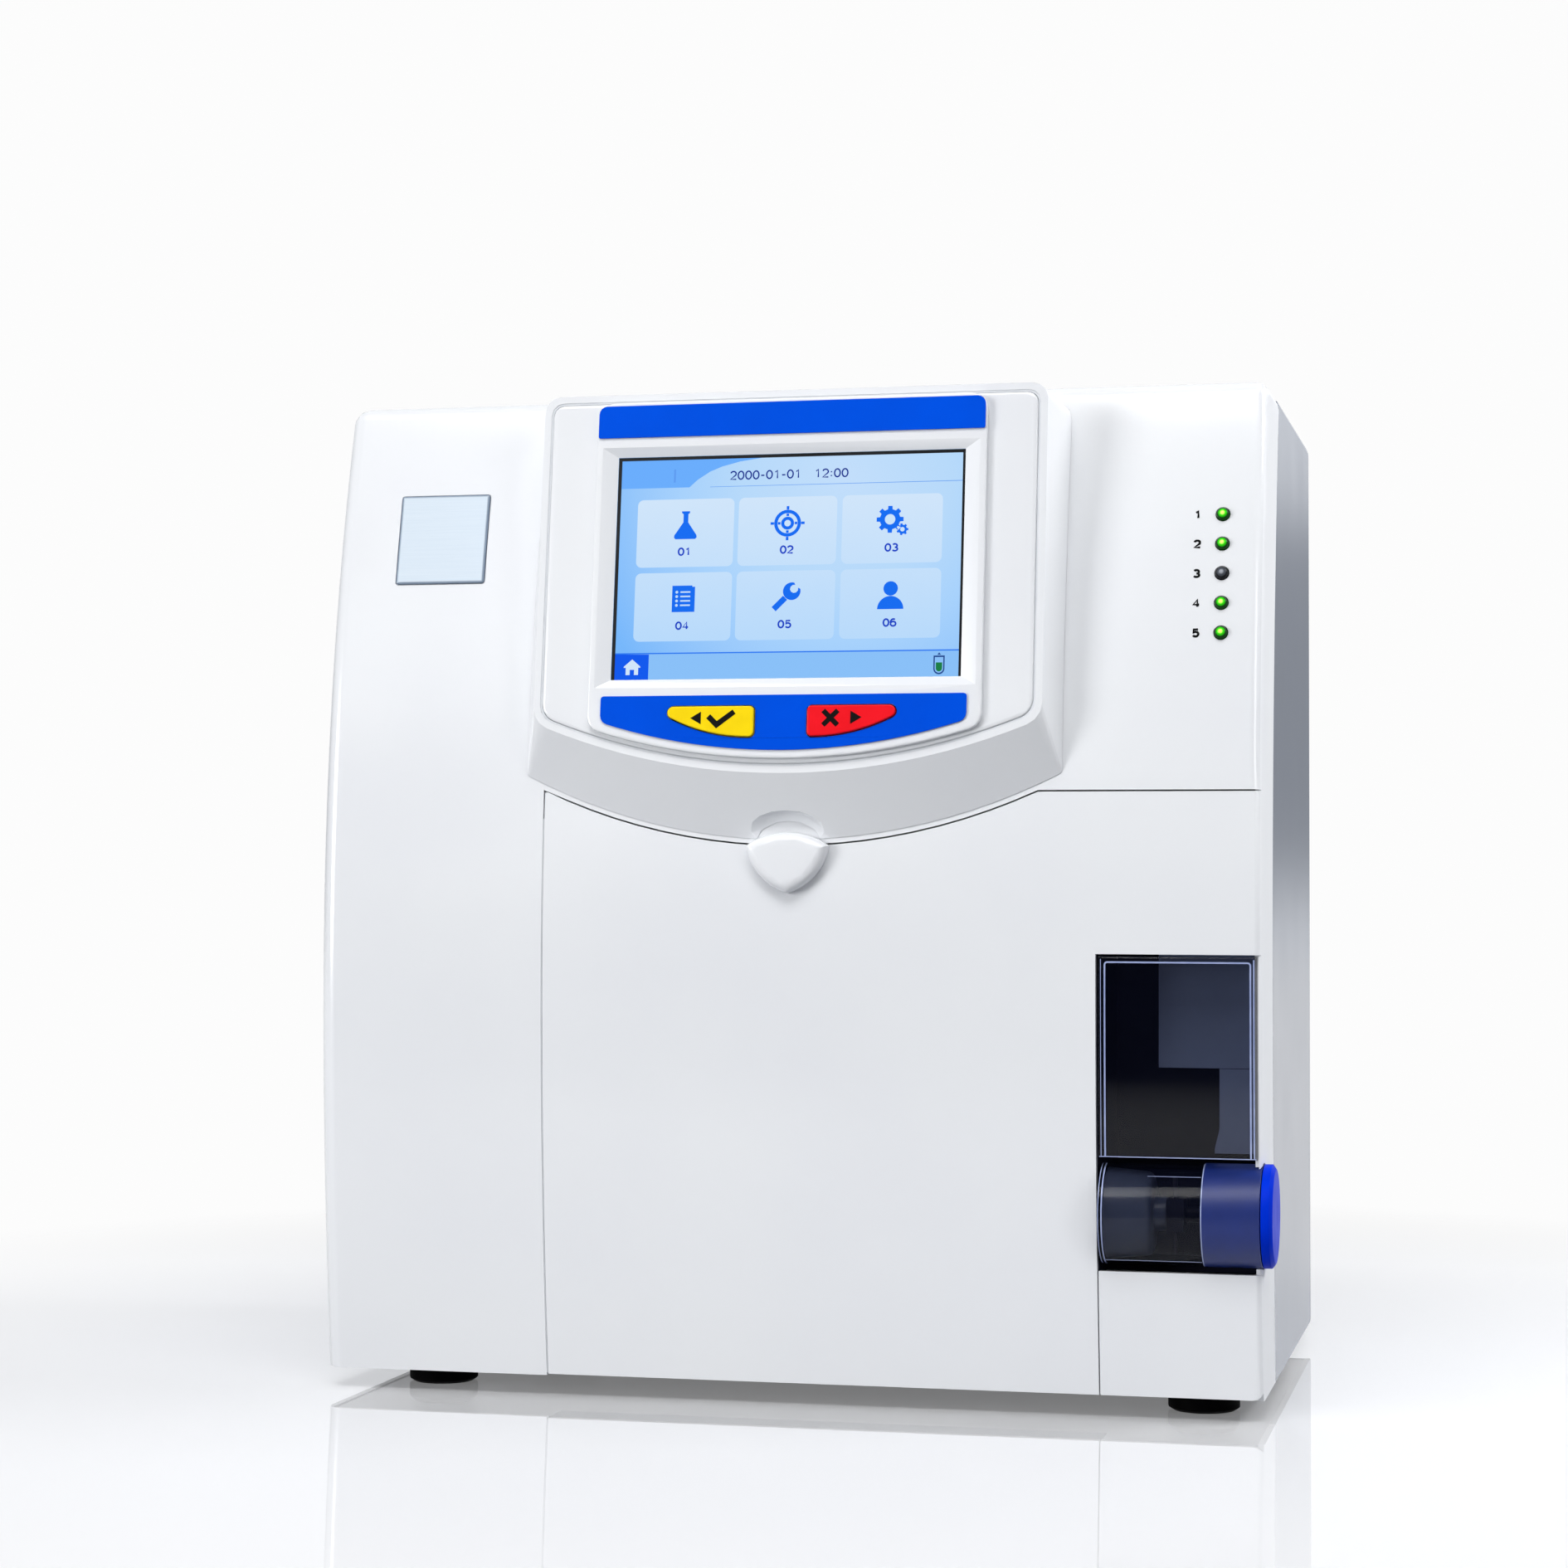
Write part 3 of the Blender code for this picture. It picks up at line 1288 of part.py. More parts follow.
def make_fluid_parts():
    back = chassis_set_back - fit_gap
    floor = base + tray_lift + tray_thickness + fit_gap
    pack = box(
        "reagent_pack", (pack_left, pack_front, floor),
        (pack_left + pack_width, pack_front + pack_depth, floor + pack_height), pack_edge,
    )
    port_height = floor + pack_height
    port_y = pack_front + pack_depth * port_depth_share
    port_x = pack_left + pack_width * port_shares[0]
    ports = [
        cylinder("port", tube_radius * 2, port_height - pack_edge, port_height + pack_edge, axis_top,
                 (pack_left + pack_width * share, port_y), 16)
        for share in port_shares
    ]
    join(pack, *ports)
    valve_left = pump_centre + pump_outer_radius + valve_width / 3
    valve = box(
        "pinch_valve", (valve_left, back - valve_depth, pump_height - valve_height / 2),
        (valve_left + valve_width, back, pump_height + valve_height / 2), fit_gap * 3,
    )
    tube_lane = back - pump_depth / 2
    pump_top = pump_height + pump_outer_radius
    rack_end = electrode_first - rack_wall - 3 * fit_gap
    sample = tube(
        "sample_tube",
        [
            (pump_centre, tube_lane, pump_top + tube_radius / 2),
            (pump_centre, tube_lane, pump_top + pump_outer_radius * tube_rise_share),
            (pump_centre + pump_outer_radius * tube_sway_share, tube_lane - pump_depth / 4,
             electrode_axis_height - electrode_radius),
            (rack_end - tube_radius * 3, electrode_set_back, electrode_axis_height),
            (rack_end, electrode_set_back, electrode_axis_height),
        ],
        tube_radius,
    )
    valve_middle = valve_left + valve_width / 2
    waste = tube(
        "waste_tube",
        [
            (valve_middle, back - valve_depth / 2, pump_height + valve_height / 2 + fit_gap),
            (valve_middle, back - valve_depth / 2, pump_height + valve_height),
            ((valve_middle + port_x) / 2, back - valve_depth, port_height + pack_edge * 4),
            (port_x, port_y, port_height + pack_edge * 3),
            (port_x, port_y, port_height + pack_edge * 2),
            (port_x, port_y, port_height + pack_edge + fit_gap),
        ],
        tube_radius,
    )
    return [pack, valve, sample, waste]


def make_rear_parts():
    front = chassis_set_back + chassis_thickness + fit_gap
    floor = base + tray_lift + tray_thickness + fit_gap
    board = box(
        "main_board", (mainboard_left, front, mainboard_low),
        (mainboard_left + mainboard_width, front + board_thickness, mainboard_low + mainboard_height),
    )
    supply_back = body_depth - supply_rear_gap
    supply = box(
        "power_supply", (supply_left, supply_back - supply_depth, floor),
        (supply_left + supply_width, supply_back, floor + supply_height), board_thickness,
    )
    inside = body_depth - case_wall - fit_gap
    half = fan_size / 2
    frame = box(
        "fan_frame", (fan_centre - half, inside - fan_depth, fan_height - half),
        (fan_centre + half, inside, fan_height + half), fit_gap * 4,
    )
    spot = (fan_centre, fan_height)
    bore_end = -inside + fan_depth + cut_overrun
    bore = cylinder("bore", fan_bore_radius, -body_depth, bore_end, axis_front, spot, 32)
    cut_away(frame, bore)
    strut = board_thickness
    join(
        frame,
        box("strut", (fan_centre - half + strut, inside - fan_depth + fit_gap, fan_height - strut),
            (fan_centre + half - strut, inside - fan_depth + 2 * strut, fan_height + strut)),
        cylinder("seat", fan_hub_radius, -inside + fan_depth - 2 * strut, -inside + fan_depth - fit_gap,
                 axis_front, spot, 24),
    )
    hub_high = -inside + fan_depth - 2 * strut - fit_gap
    hub_low = -inside + strut
    rotor = cylinder("fan_rotor", fan_hub_radius, hub_low, hub_high, axis_front, spot, 24)
    blades = []
    reach = fan_bore_radius - strut
    for i in range(fan_blade_count):
        turn = Matrix.Rotation(2 * math.pi * i / fan_blade_count, 4, "Y")
        pitch = Matrix.Rotation(fan_blade_pitch, 4, "X")
        blade = box("blade", (fan_hub_radius / 2, -(hub_high - hub_low) / 2 + strut, -strut / 2),
                    (reach, (hub_high - hub_low) / 2 - strut, strut / 2))
        middle = Matrix.Translation((fan_centre, -(hub_low + hub_high) / 2, fan_height))
        blade.data.transform(middle @ turn @ pitch)
        blades.append(blade)
    join(rotor, *blades)
    return [board, supply, frame], rotor


def make_power_entry():
    outside = body_depth + fit_gap
    half_wide, half_tall = inlet_width / 2, inlet_tall / 2
    inlet = box(
        "power_inlet", (inlet_centre - half_wide, body_depth - inlet_depth, inlet_height - half_tall),
        (inlet_centre + half_wide, outside + inlet_flange / 2, inlet_height + half_tall),
    )
    edge = inlet_flange
    flange = box(
        "flange", (inlet_centre - half_wide - edge, outside, inlet_height - half_tall - edge),
        (inlet_centre + half_wide + edge, outside + inlet_flange, inlet_height + half_tall + edge),
    )
    join(inlet, flange)
    socket = rounded_rectangle(
        inlet_centre - half_wide + edge, inlet_height - half_tall + edge,
        inlet_centre + half_wide - edge, inlet_height + half_tall - edge, edge, 3,
    )
    deep = body_depth - inlet_depth + edge
    cut_away(inlet, prism("socket", [socket], -outside - cut_overrun, -deep, axis_front))
    pin_half = edge / 4
    pins = [
        box("pin", (x - pin_half, deep - fit_gap * 2, z - 2 * pin_half),
            (x + pin_half, outside - edge, z + 2 * pin_half))
        for x, z in (
            (inlet_centre - inlet_width / 5, inlet_height - edge),
            (inlet_centre + inlet_width / 5, inlet_height - edge),
            (inlet_centre, inlet_height + edge),
        )
    ]
    join(inlet, *pins)
    wide, tall = switch_width / 2 - fit_gap, switch_tall / 2 - switch_rock_gap
    rise = switch_depth / 3
    outline = [
        (-switch_depth, -tall / 2), (-switch_depth, tall / 2), (0, tall), (rise, tall), (0, 0), (0, -tall),
    ]
    outline = [(body_depth + a, inlet_height + b) for a, b in outline]
    rocker = prism("power_rocker", [outline], switch_centre - wide, switch_centre + wide, axis_side)
    return inlet, rocker


def finish(objects, finish_of):
    for obj in objects:
        paint(obj, finish_of)
        obj.data.shade_smooth()
        obj.data.set_sharp_from_angle(angle=sharp_angle)
    return objects


def hang(objects, parent, point):
    """Parents objects to an empty, with their origins on it."""
    for obj in objects:
        obj.data.transform(Matrix.Translation(-Vector(point)))
        obj.parent = parent


def axis_empty(name, point, parent):
    empty = bpy.data.objects.new(name, None)
    parts.objects.link(empty)
    empty.parent = parent
    empty.location = point
    return empty


clear_scene()
parts = new_collection("Electrolyte analyzer")

case = make_front_case()
cover = make_rear_cover()
tray = make_base_tray()
feet = make_feet()
door = make_front_door()
pins = make_hinge_pins()
tab = make_door_tab()
catch = make_door_catch()
lower_panel = make_lower_panel()
shroud = make_display_shroud()
bezel = make_display_bezel()
control_panel = make_control_panel()
glass, module, display_board = make_screen()
upper_band, lower_band, left_key, right_key, key_board = make_bands_and_keys()
badge = make_badge_plate()
lights = make_status_lights()
window = make_sampler_window()
drum = make_sampler_drum()
knob, cap = make_sampler_knob()
shaft, hub, probe = make_sampler_works()
housing = make_sampler_housing()
chassis = make_chassis()
electrode_parts, lever, lever_pivot = make_electrodes()
pump_parts, rotor = make_pump()
fluid_parts = make_fluid_parts()
rear_parts, fan_rotor = make_rear_parts()
inlet, rocker = make_power_entry()

finish([case, door, tab, lower_panel, shroud, bezel, control_panel], white_plastic)
finish([cover, tray], grey_plastic)
finish(feet, black_rubber)
finish([*pins, catch, shaft, chassis, electrode_parts[-1]], bare_steel)
finish([glass], screen_blue)
finish([module, housing, hub, inlet, rocker], charcoal_plastic)
finish([display_board, key_board, lights[-1], rear_parts[0]], board_green)
finish([upper_band, lower_band], band_blue)
finish([left_key], key_yellow)
finish([right_key], key_red)
finish([badge], badge_silver)
finish(lights[:-1], lens_grey)
finish([window, drum], smoked_plastic)
finish([knob], knob_blue)
finish([cap], cap_blue)
finish([probe, rear_parts[1]], bare_steel)
finish([*electrode_parts[:-1], fluid_parts[0]], acrylic_white)
finish([pump_parts[0], rotor, lever, fluid_parts[1]], grey_plastic)
finish([pump_parts[1], rear_parts[2], fan_rotor], charcoal_plastic)
finish(fluid_parts[2:], tube_clear)

root = bpy.data.objects.new("analyzer_origin", None)
parts.objects.link(root)
hinge_y, hinge_z = hinge_point()
moving = {
    "door_axis": ([door, tab], (head_centre, hinge_y, hinge_z)),
    "sampler_axis": ([drum, knob, cap, shaft, hub, probe], (half_width, *sampler_axis())),
    "left_key_axis": ([left_key], tuple(head_frame() @ Vector((-key_inner_reach, key_high, 0)))),
    "right_key_axis": ([right_key], tuple(head_frame() @ Vector((key_inner_reach, key_high, 0)))),
    "lever_axis": ([lever], (lever_pivot[0], electrode_set_back, lever_pivot[1])),
    "pump_axis": ([rotor], (pump_centre, chassis_set_back, pump_height)),
    "fan_axis": ([fan_rotor], (fan_centre, body_depth, fan_height)),
    "rocker_axis": ([rocker], (switch_centre, body_depth - switch_depth / 2, inlet_height)),
}
placed = set()
for name, (objects, point) in moving.items():
    hang(objects, axis_empty(name, point, root), point)
    placed.update(objects)
for obj in parts.objects:
    if obj.type == "MESH" and obj not in placed:
        obj.parent = root

bpy.context.view_layer.update()
corners = [obj.matrix_world @ Vector(c) for obj in parts.objects if obj.type == "MESH" for c in obj.bound_box]
for axis in (0, 1):
    values = [corner[axis] for corner in corners]
    root.location[axis] = -(min(values) + max(values)) / 2
bpy.context.view_layer.update()
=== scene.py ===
import math

import bmesh
import bpy
from mathutils import Matrix, Vector


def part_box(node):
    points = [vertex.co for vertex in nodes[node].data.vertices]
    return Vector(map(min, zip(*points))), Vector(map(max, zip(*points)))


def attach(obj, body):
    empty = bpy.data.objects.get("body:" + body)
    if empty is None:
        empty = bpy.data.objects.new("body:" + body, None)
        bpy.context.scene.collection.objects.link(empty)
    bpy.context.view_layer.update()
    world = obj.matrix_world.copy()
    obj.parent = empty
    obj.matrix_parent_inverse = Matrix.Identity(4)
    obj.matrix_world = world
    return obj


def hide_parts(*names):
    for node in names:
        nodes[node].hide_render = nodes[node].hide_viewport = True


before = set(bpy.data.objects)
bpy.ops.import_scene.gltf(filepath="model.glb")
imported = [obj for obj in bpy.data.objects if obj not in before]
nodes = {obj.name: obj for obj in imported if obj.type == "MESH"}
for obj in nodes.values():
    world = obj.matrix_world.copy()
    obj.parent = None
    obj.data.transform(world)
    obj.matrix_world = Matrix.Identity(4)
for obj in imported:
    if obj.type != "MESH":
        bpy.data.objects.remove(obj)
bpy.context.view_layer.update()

mm = 0.001
print("frame loaded:", len(nodes), "parts")


def newObject(name, data):
    obj = bpy.data.objects.new(name, data)
    bpy.context.scene.collection.objects.link(obj)
    return obj


# where the screen head sits and leans, and the two arcs of the case front, in metres
headPlace = {"origin": (0.00295, -0.123913, 0.243), "tiltDeg": 83}
caseFront = {"bendHeight": 0.165, "upperRadius": 0.756, "lowerRadius": 1.24, "forward": 0.113913}

view = {"place": (0.288049, -1.330818, 0.201981), "turnDeg": 13.2477, "liftDeg": 1.4861, "rollDeg": 0.12,
        "lens": 76.306, "sensorWide": 36}

cameraData = bpy.data.cameras.new("photo camera")
cameraData.lens = view["lens"]
cameraData.sensor_width = view["sensorWide"]
camera = newObject("photo camera", cameraData)
aim = Matrix.Rotation(math.radians(view["turnDeg"]), 4, "Z")
aim = aim @ Matrix.Rotation(math.radians(90 + view["liftDeg"]), 4, "X")
aim = aim @ Matrix.Rotation(math.radians(view["rollDeg"]), 4, "Z")
camera.matrix_world = Matrix.Translation(view["place"]) @ aim
bpy.context.scene.camera = camera
bpy.context.scene.view_settings.view_transform = "Standard"


def linear(hexText, alpha=1.0):
    # a written sRGB colour as the linear light that a shader works in
    parts = [int(hexText[i:i + 2], 16) / 255 for i in (1, 3, 5)]
    return (*[c / 12.92 if c <= 0.04045 else ((c + 0.055) / 1.055) ** 2.4 for c in parts], alpha)


def addNode(tree, kind, settings=None, links=None):
    node = tree.nodes.new(kind)
    for key, value in (settings or {}).items():
        if isinstance(key, int) or key in node.inputs:
            node.inputs[key].default_value = value
        else:
            setattr(node, key, value)
    # a link comes from a socket, or from a node by its first one
    for key, source in (links or {}).items():
        tree.links.new(getattr(source, "outputs", [source])[0], node.inputs[key])
    return node


def newMaterial(name):
    material = bpy.data.materials.new(name)
    material.use_nodes = True
    tree = material.node_tree
    tree.nodes.clear()
    return material, tree


def closeMaterial(material, shader):
    addNode(material.node_tree, "ShaderNodeOutputMaterial", {}, {"Surface": shader})
    return material


def inkedRamp(tree, stops, factor):
    ramp = addNode(tree, "ShaderNodeValToRGB", {}, {"Fac": factor})
    while len(ramp.color_ramp.elements) < len(stops):
        ramp.color_ramp.elements.new(0.5)
    for element, (place, colour) in zip(ramp.color_ramp.elements, stops):
        element.position = place
        element.color = colour
    return ramp.outputs["Color"]


def onHead(lift):
    # the screen head's own axes: across, up its face, and out of it
    tilt = Matrix.Rotation(math.radians(headPlace["tiltDeg"]), 4, "X")
    return Matrix.Translation(headPlace["origin"]) @ tilt @ Matrix.Translation((0, 0, lift * mm))


def frontBend(z):
    return caseFront["upperRadius" if z > caseFront["bendHeight"] else "lowerRadius"]


def frontY(z):
    # the case front is two arcs, one above and one below its most forward height
    bend = frontBend(z)
    return bend - math.sqrt(bend ** 2 - (z - caseFront["bendHeight"]) ** 2) - caseFront["forward"]


def onFront(z, lift=0.0):
    # the curved front's own axes at a height, x still measured from the middle of the case
    lean = math.asin((z - caseFront["bendHeight"]) / frontBend(z))
    upright = Matrix.Translation((0, frontY(z), z)) @ Matrix.Rotation(math.pi / 2 - lean, 4, "X")
    return upright @ Matrix.Translation((0, 0, lift * mm))


def headMillimetres(tree):
    # millimetres across and up the screen head's face, for patterns that lie on it
    place = addNode(tree, "ShaderNodeTexCoord").outputs["Object"]
    turn = (math.radians(headPlace["tiltDeg"]), 0, 0)
    return addNode(tree, "ShaderNodeMapping", {"vector_type": "TEXTURE", "Location": headPlace["origin"],
                   "Rotation": turn, "Scale": (mm, mm, mm)}, {"Vector": place}).outputs[0]


def mouldedPlastic(name, look):
    # injection-moulded plastic: an even tone and a soft shine, broken by very shallow ripples
    material, tree = newMaterial(name)
    place = addNode(tree, "ShaderNodeTexCoord").outputs["Object"]
    cloud = addNode(tree, "ShaderNodeTexNoise", {"Scale": 1 / (look["cloudMm"] * mm), "Detail": 3.0},
                    {"Vector": place})
    tone = inkedRamp(tree, [(0.35, linear(look["colour"])), (0.65, linear(look["shade"]))],
                     cloud.outputs["Fac"])
    low, high = look["roughness"] - look["roughSpread"], look["roughness"] + look["roughSpread"]
    shine = addNode(tree, "ShaderNodeMapRange",
                    {"From Min": 0.3, "From Max": 0.7, "To Min": low, "To Max": high},
                    {"Value": cloud.outputs["Fac"]}).outputs[0]
    if "sideRough" in look:
        # the mould's side walls are etched satin so that the part lets go, the front is polished
        normal = addNode(tree, "ShaderNodeTexCoord").outputs["Normal"]
        facing = addNode(tree, "ShaderNodeSeparateXYZ", {}, {0: normal})
        aside = addNode(tree, "ShaderNodeMath", {"operation": "ABSOLUTE"}, {0: facing.outputs["X"]})
        satin = addNode(tree, "ShaderNodeMapRange", {"From Min": 0.75, "From Max": 0.95, "To Min": 0.0,
                        "To Max": look["sideRough"]}, {"Value": aside})
        shine = addNode(tree, "ShaderNodeMath", {"operation": "MAXIMUM"}, {0: shine, 1: satin}).outputs[0]
    grain = addNode(tree, "ShaderNodeTexNoise", {"Scale": 1 / (look["grainMm"] * mm), "Detail": 4.0},
                    {"Vector": place})
    bump = addNode(tree, "ShaderNodeBump", {"Strength": look["bump"], "Distance": look["grainMm"] * mm * 0.2},
                   {"Height": grain.outputs["Fac"]})
    shader = addNode(tree, "ShaderNodeBsdfPrincipled",
                     {"IOR": look["ior"], "Subsurface Scale": 0.001,
                      "Specular IOR Level": look.get("specular", 0.5),
                      "Subsurface Weight": look.get("glow", 0.0)},
                     {"Base Color": tone, "Roughness": shine, "Normal": bump})
    return closeMaterial(material, shader)


def bareSteel(name, look):
    # rolled sheet or turned steel: fine directional scratches stretch the reflections along them
    material, tree = newMaterial(name)
    place = addNode(tree, "ShaderNodeTexCoord").outputs["Object"]
    lay = addNode(tree, "ShaderNodeMapping", {"Scale": look["stretch"]}, {"Vector": place})
    lines = addNode(tree, "ShaderNodeTexNoise", {"Scale": 1 / (look["lineMm"] * mm), "Detail": 5.0},
                    {"Vector": lay})
    tone = inkedRamp(tree, [(0.3, linear(look["shade"])), (0.7, linear(look["colour"]))],
                     lines.outputs["Fac"])
    shine = addNode(tree, "ShaderNodeMapRange",
                    {"To Min": look["roughness"] - 0.08, "To Max": look["roughness"] + 0.08},
                    {"Value": lines.outputs["Fac"]})
    bump = addNode(tree, "ShaderNodeBump", {"Strength": 0.12, "Distance": 0.00005},
                   {"Height": lines.outputs["Fac"]})
    shader = addNode(tree, "ShaderNodeBsdfPrincipled", {"Metallic": 1.0},
                     {"Base Color": tone, "Roughness": shine, "Normal": bump})
    return closeMaterial(material, shader)


def tintedAcrylic(name, look):
    # clear cast plastic dyed through: dark, sharp-edged reflections, the parts behind it show faintly
    material, tree = newMaterial(name)
    place = addNode(tree, "ShaderNodeTexCoord").outputs["Object"]
    flow = addNode(tree, "ShaderNodeTexNoise", {"Scale": 1 / (look["flowMm"] * mm), "Detail": 2.0},
                   {"Vector": place})
    tone = inkedRamp(tree, [(0.35, linear(look["colour"])), (0.65, linear(look["shade"]))],
                     flow.outputs["Fac"])
    haze = addNode(tree, "ShaderNodeMapRange",
                   {"To Min": look["roughness"], "To Max": look["roughness"] + 0.03},
                   {"Value": flow.outputs["Fac"]})
    bump = addNode(tree, "ShaderNodeBump", {"Strength": 0.01, "Distance": 0.0002},
                   {"Height": flow.outputs["Fac"]})
    shader = addNode(tree, "ShaderNodeBsdfPrincipled", {"IOR": 1.49, "Alpha": look["alpha"],
                     "Specular IOR Level": look.get("specular", 0.5)},
                     {"Base Color": tone, "Roughness": haze, "Normal": bump})
    return closeMaterial(material, shader)


def printedInk(name, colour):
    # screen-printed ink: flat and slightly mottled where the mesh laid it down
    material, tree = newMaterial(name)
    place = addNode(tree, "ShaderNodeTexCoord").outputs["Object"]
    mottle = addNode(tree, "ShaderNodeTexNoise", {"Scale": 1 / (0.6 * mm), "Detail": 2.0}, {"Vector": place})
    dim = tuple(c * 0.9 for c in linear(colour)[:3]) + (1.0,)
    tone = inkedRamp(tree, [(0.3, linear(colour)), (0.7, dim)], mottle.outputs["Fac"])
    bump = addNode(tree, "ShaderNodeBump", {"Strength": 0.05, "Distance": 0.00005},
                   {"Height": mottle.outputs["Fac"]})
    shader = addNode(tree, "ShaderNodeBsdfPrincipled",
                     {"IOR": 1.5, "Roughness": 0.5, "Specular IOR Level": 0.12},
                     {"Base Color": tone, "Normal": bump})
    return closeMaterial(material, shader)


# moulded plastics: a name, the settings that all have in the order of plasticKeys, and what else a few need
plasticKeys = ("colour", "shade", "roughness", "roughSpread", "cloudMm", "grainMm", "bump", "ior")
plastics = {
    "shell": ("gloss white ABS moulded", ("#EBEDF0", "#E8EAEE", 0.17, 0.02, 90, 1.6, 0.05, 1.53),
              {"sideRough": 0.6}),
    "cover": ("grey ABS satin", ("#8D94A1", "#888F9C", 0.24, 0.015, 60, 0.9, 0.05, 1.53), {}),
    "works": ("grey acetal moulded", ("#BEC2C9", "#B4B9C1", 0.38, 0.05, 25, 0.8, 0.15, 1.48), {}),
    "charcoal": ("charcoal nylon moulded", ("#24262C", "#1E2026", 0.48, 0.06, 20, 0.8, 0.25, 1.53), {}),
    # the dark carrier and the lighter slate are one plastic in two tones: the slate is a painted lit face for
    # the block behind the window, the carrier's darkness partly painted shade deeper in
    "carrier": ("dark polycarbonate moulded", ("#181A2C", "#151727", 0.5, 0.05, 30, 1.0, 0.015, 1.58),
                {"specular": 0.1}),
    "slate": ("slate polycarbonate painted lit face", ("#8794BC", "#818EB6", 0.42, 0.05, 30, 1.0, 0.04, 1.58),
              {"specular": 0.3}),
    "rubber": ("black rubber moulded", ("#030304", "#060607", 0.6, 0.08, 8, 0.7, 0.3, 1.52),
               {"specular": 0.02}),
    "sensor": ("pale acrylic turned", ("#DDE4EA", "#D2DAE1", 0.2, 0.04, 12, 0.6, 0.06, 1.49), {"glow": 0.15}),
    "band": ("blue polyester overlay", ("#0050DE", "#004DD8", 0.3, 0.03, 30, 0.7, 0.04, 1.57),
             {"specular": 0.03}),
    "yellowKey": ("yellow silicone key", ("#FCDC0C", "#F6D404", 0.36, 0.04, 10, 0.7, 0.06, 1.43),
                  {"specular": 0.15}),
    "redKey": ("red silicone key", ("#F41624", "#EE101E", 0.36, 0.04, 10, 0.7, 0.06, 1.43),
               {"specular": 0.15}),
    "cap": ("royal blue ABS polished", ("#0030D0", "#002CC6", 0.4, 0.03, 12, 1.0, 0.02, 1.53),
            {"specular": 0.02}),
    "board": ("green solder mask", ("#14503A", "#0F432F", 0.34, 0.05, 6, 0.9, 0.35, 1.5), {}),
    "tubing": ("clear PVC tubing", ("#DCE3E6", "#CDD6DA", 0.18, 0.04, 5, 0.7, 0.08, 1.53), {"glow": 0.2}),
}
finishes = {key: mouldedPlastic(name, dict(zip(plasticKeys, common)) | extra)
            for key, (name, common, extra) in plastics.items()}
finishes |= {
    "steel": bareSteel("zinc-plated sheet steel", {"colour": "#C6C8CA", "shade": "#A8ABAE", "roughness": 0.34,
                       "lineMm": 1.2, "stretch": (0.1, 1.0, 1.0)}),
    "smoked": tintedAcrylic("smoked acrylic cast",
                            {"colour": "#0A0C18", "shade": "#0B0D1B", "roughness": 0.03,
                             "flowMm": 30, "alpha": 0.35}),
    "drumShell": tintedAcrylic("smoked polycarbonate thin",
                               {"colour": "#0A0D1C", "shade": "#0B0F20", "roughness": 0.05,
                                "flowMm": 30, "alpha": 0.3, "specular": 0.3}),
    "barrel": tintedAcrylic("blue polycarbonate tinted",
                            {"colour": "#0E2468", "shade": "#102770", "roughness": 0.4,
                             "flowMm": 12, "alpha": 0.94}),
}
print("finishes made:", len(finishes))


def dress(name, finish, bevelMm):
    obj = nodes[name]
    obj.data.materials.clear()
    obj.data.materials.append(finishes[finish] if isinstance(finish, str) else finish)
    obj.data.polygons.foreach_set("use_smooth", [True] * len(obj.data.polygons))
    weld = obj.modifiers.new("Weld", "WELD")
    weld.merge_threshold = 0.00001
    if bevelMm:
        bevel = obj.modifiers.new("Moulded edges", "BEVEL")
        bevel.width = bevelMm * mm
        bevel.segments = 2
        bevel.limit_method = "ANGLE"
        bevel.angle_limit = math.radians(32)
        bevel.miter_outer = "MITER_ARC"
    shade = obj.modifiers.new("Even shading", "WEIGHTED_NORMAL")
    shade.keep_sharp = False
    shade.weight = 80
    return obj


dressing = {
    "shell": {"front_case": 0.5, "front_door": 0.4, "door_tab": 0.4, "lower_panel": 0.4,
              "display_shroud": 0.5,
              "display_bezel": 0.3, "control_panel": 0.25},
    "cover": {"rear_cover": 0.4, "base_tray": 0.2},
    "works": {"pump_body": 0.4, "pump_rotor": 0.3, "clamp_lever": 0.5, "pinch_valve": 0.3,
              "electrode_rack": 0.4},
    "rubber": {"front_left_foot": 0.4, "front_right_foot": 0.4, "rear_left_foot": 0.4,
               "rear_right_foot": 0.4},
    "steel": {"left_hinge_pin": 0.2, "right_hinge_pin": 0.2, "door_catch": 0.2, "chassis_plate": 0.2,
              "clamp_pin": 0.2, "power_supply": 0.3},
    "charcoal": {"screen_module": 0.2, "power_inlet": 0.3, "power_rocker": 0.3, "pump_motor": 0.5,
                 "fan_frame": 0.3, "fan_rotor": 0.2},
    "carrier": {"sampler_housing": 0.25, "sampler_shaft": 0.2, "sample_probe": 0.1},
    "board": {"display_board": 0.1, "key_board": 0.1, "status_board": 0.1, "main_board": 0.1},
    "band": {"upper_band": 0.08, "lower_band": 0.08},
    "yellowKey": {"left_key": 0.15},
    "redKey": {"right_key": 0.15},
    "cap": {"knob_cap": 0.4},
    "sensor": {"sodium_electrode": 0.5, "potassium_electrode": 0.5, "chloride_electrode": 0.5,
               "reference_electrode": 0.5, "reagent_pack": 0.5},
    "tubing": {"sample_tube": 0, "waste_tube": 0},
    "smoked": {"sampler_window": 0.2},
    "drumShell": {"sampler_drum": 0.2},
    "barrel": {"sampler_knob": 0.3},
}
for finish, parts in dressing.items():
    for name, bevelMm in parts.items():
        dress(name, finish, bevelMm)
print("housing and works dressed")


def meshPiece(name, shape, material, body, smooth=False):
    mesh = bpy.data.meshes.new(name)
    shape.to_mesh(mesh)
    shape.free()
    piece = newObject(name, mesh)
    mesh.materials.append(material)
    if smooth:
        mesh.polygons.foreach_set("use_smooth", [True] * len(mesh.polygons))
        mesh.set_sharp_from_angle(angle=math.radians(35))
    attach(piece, body)
    return piece


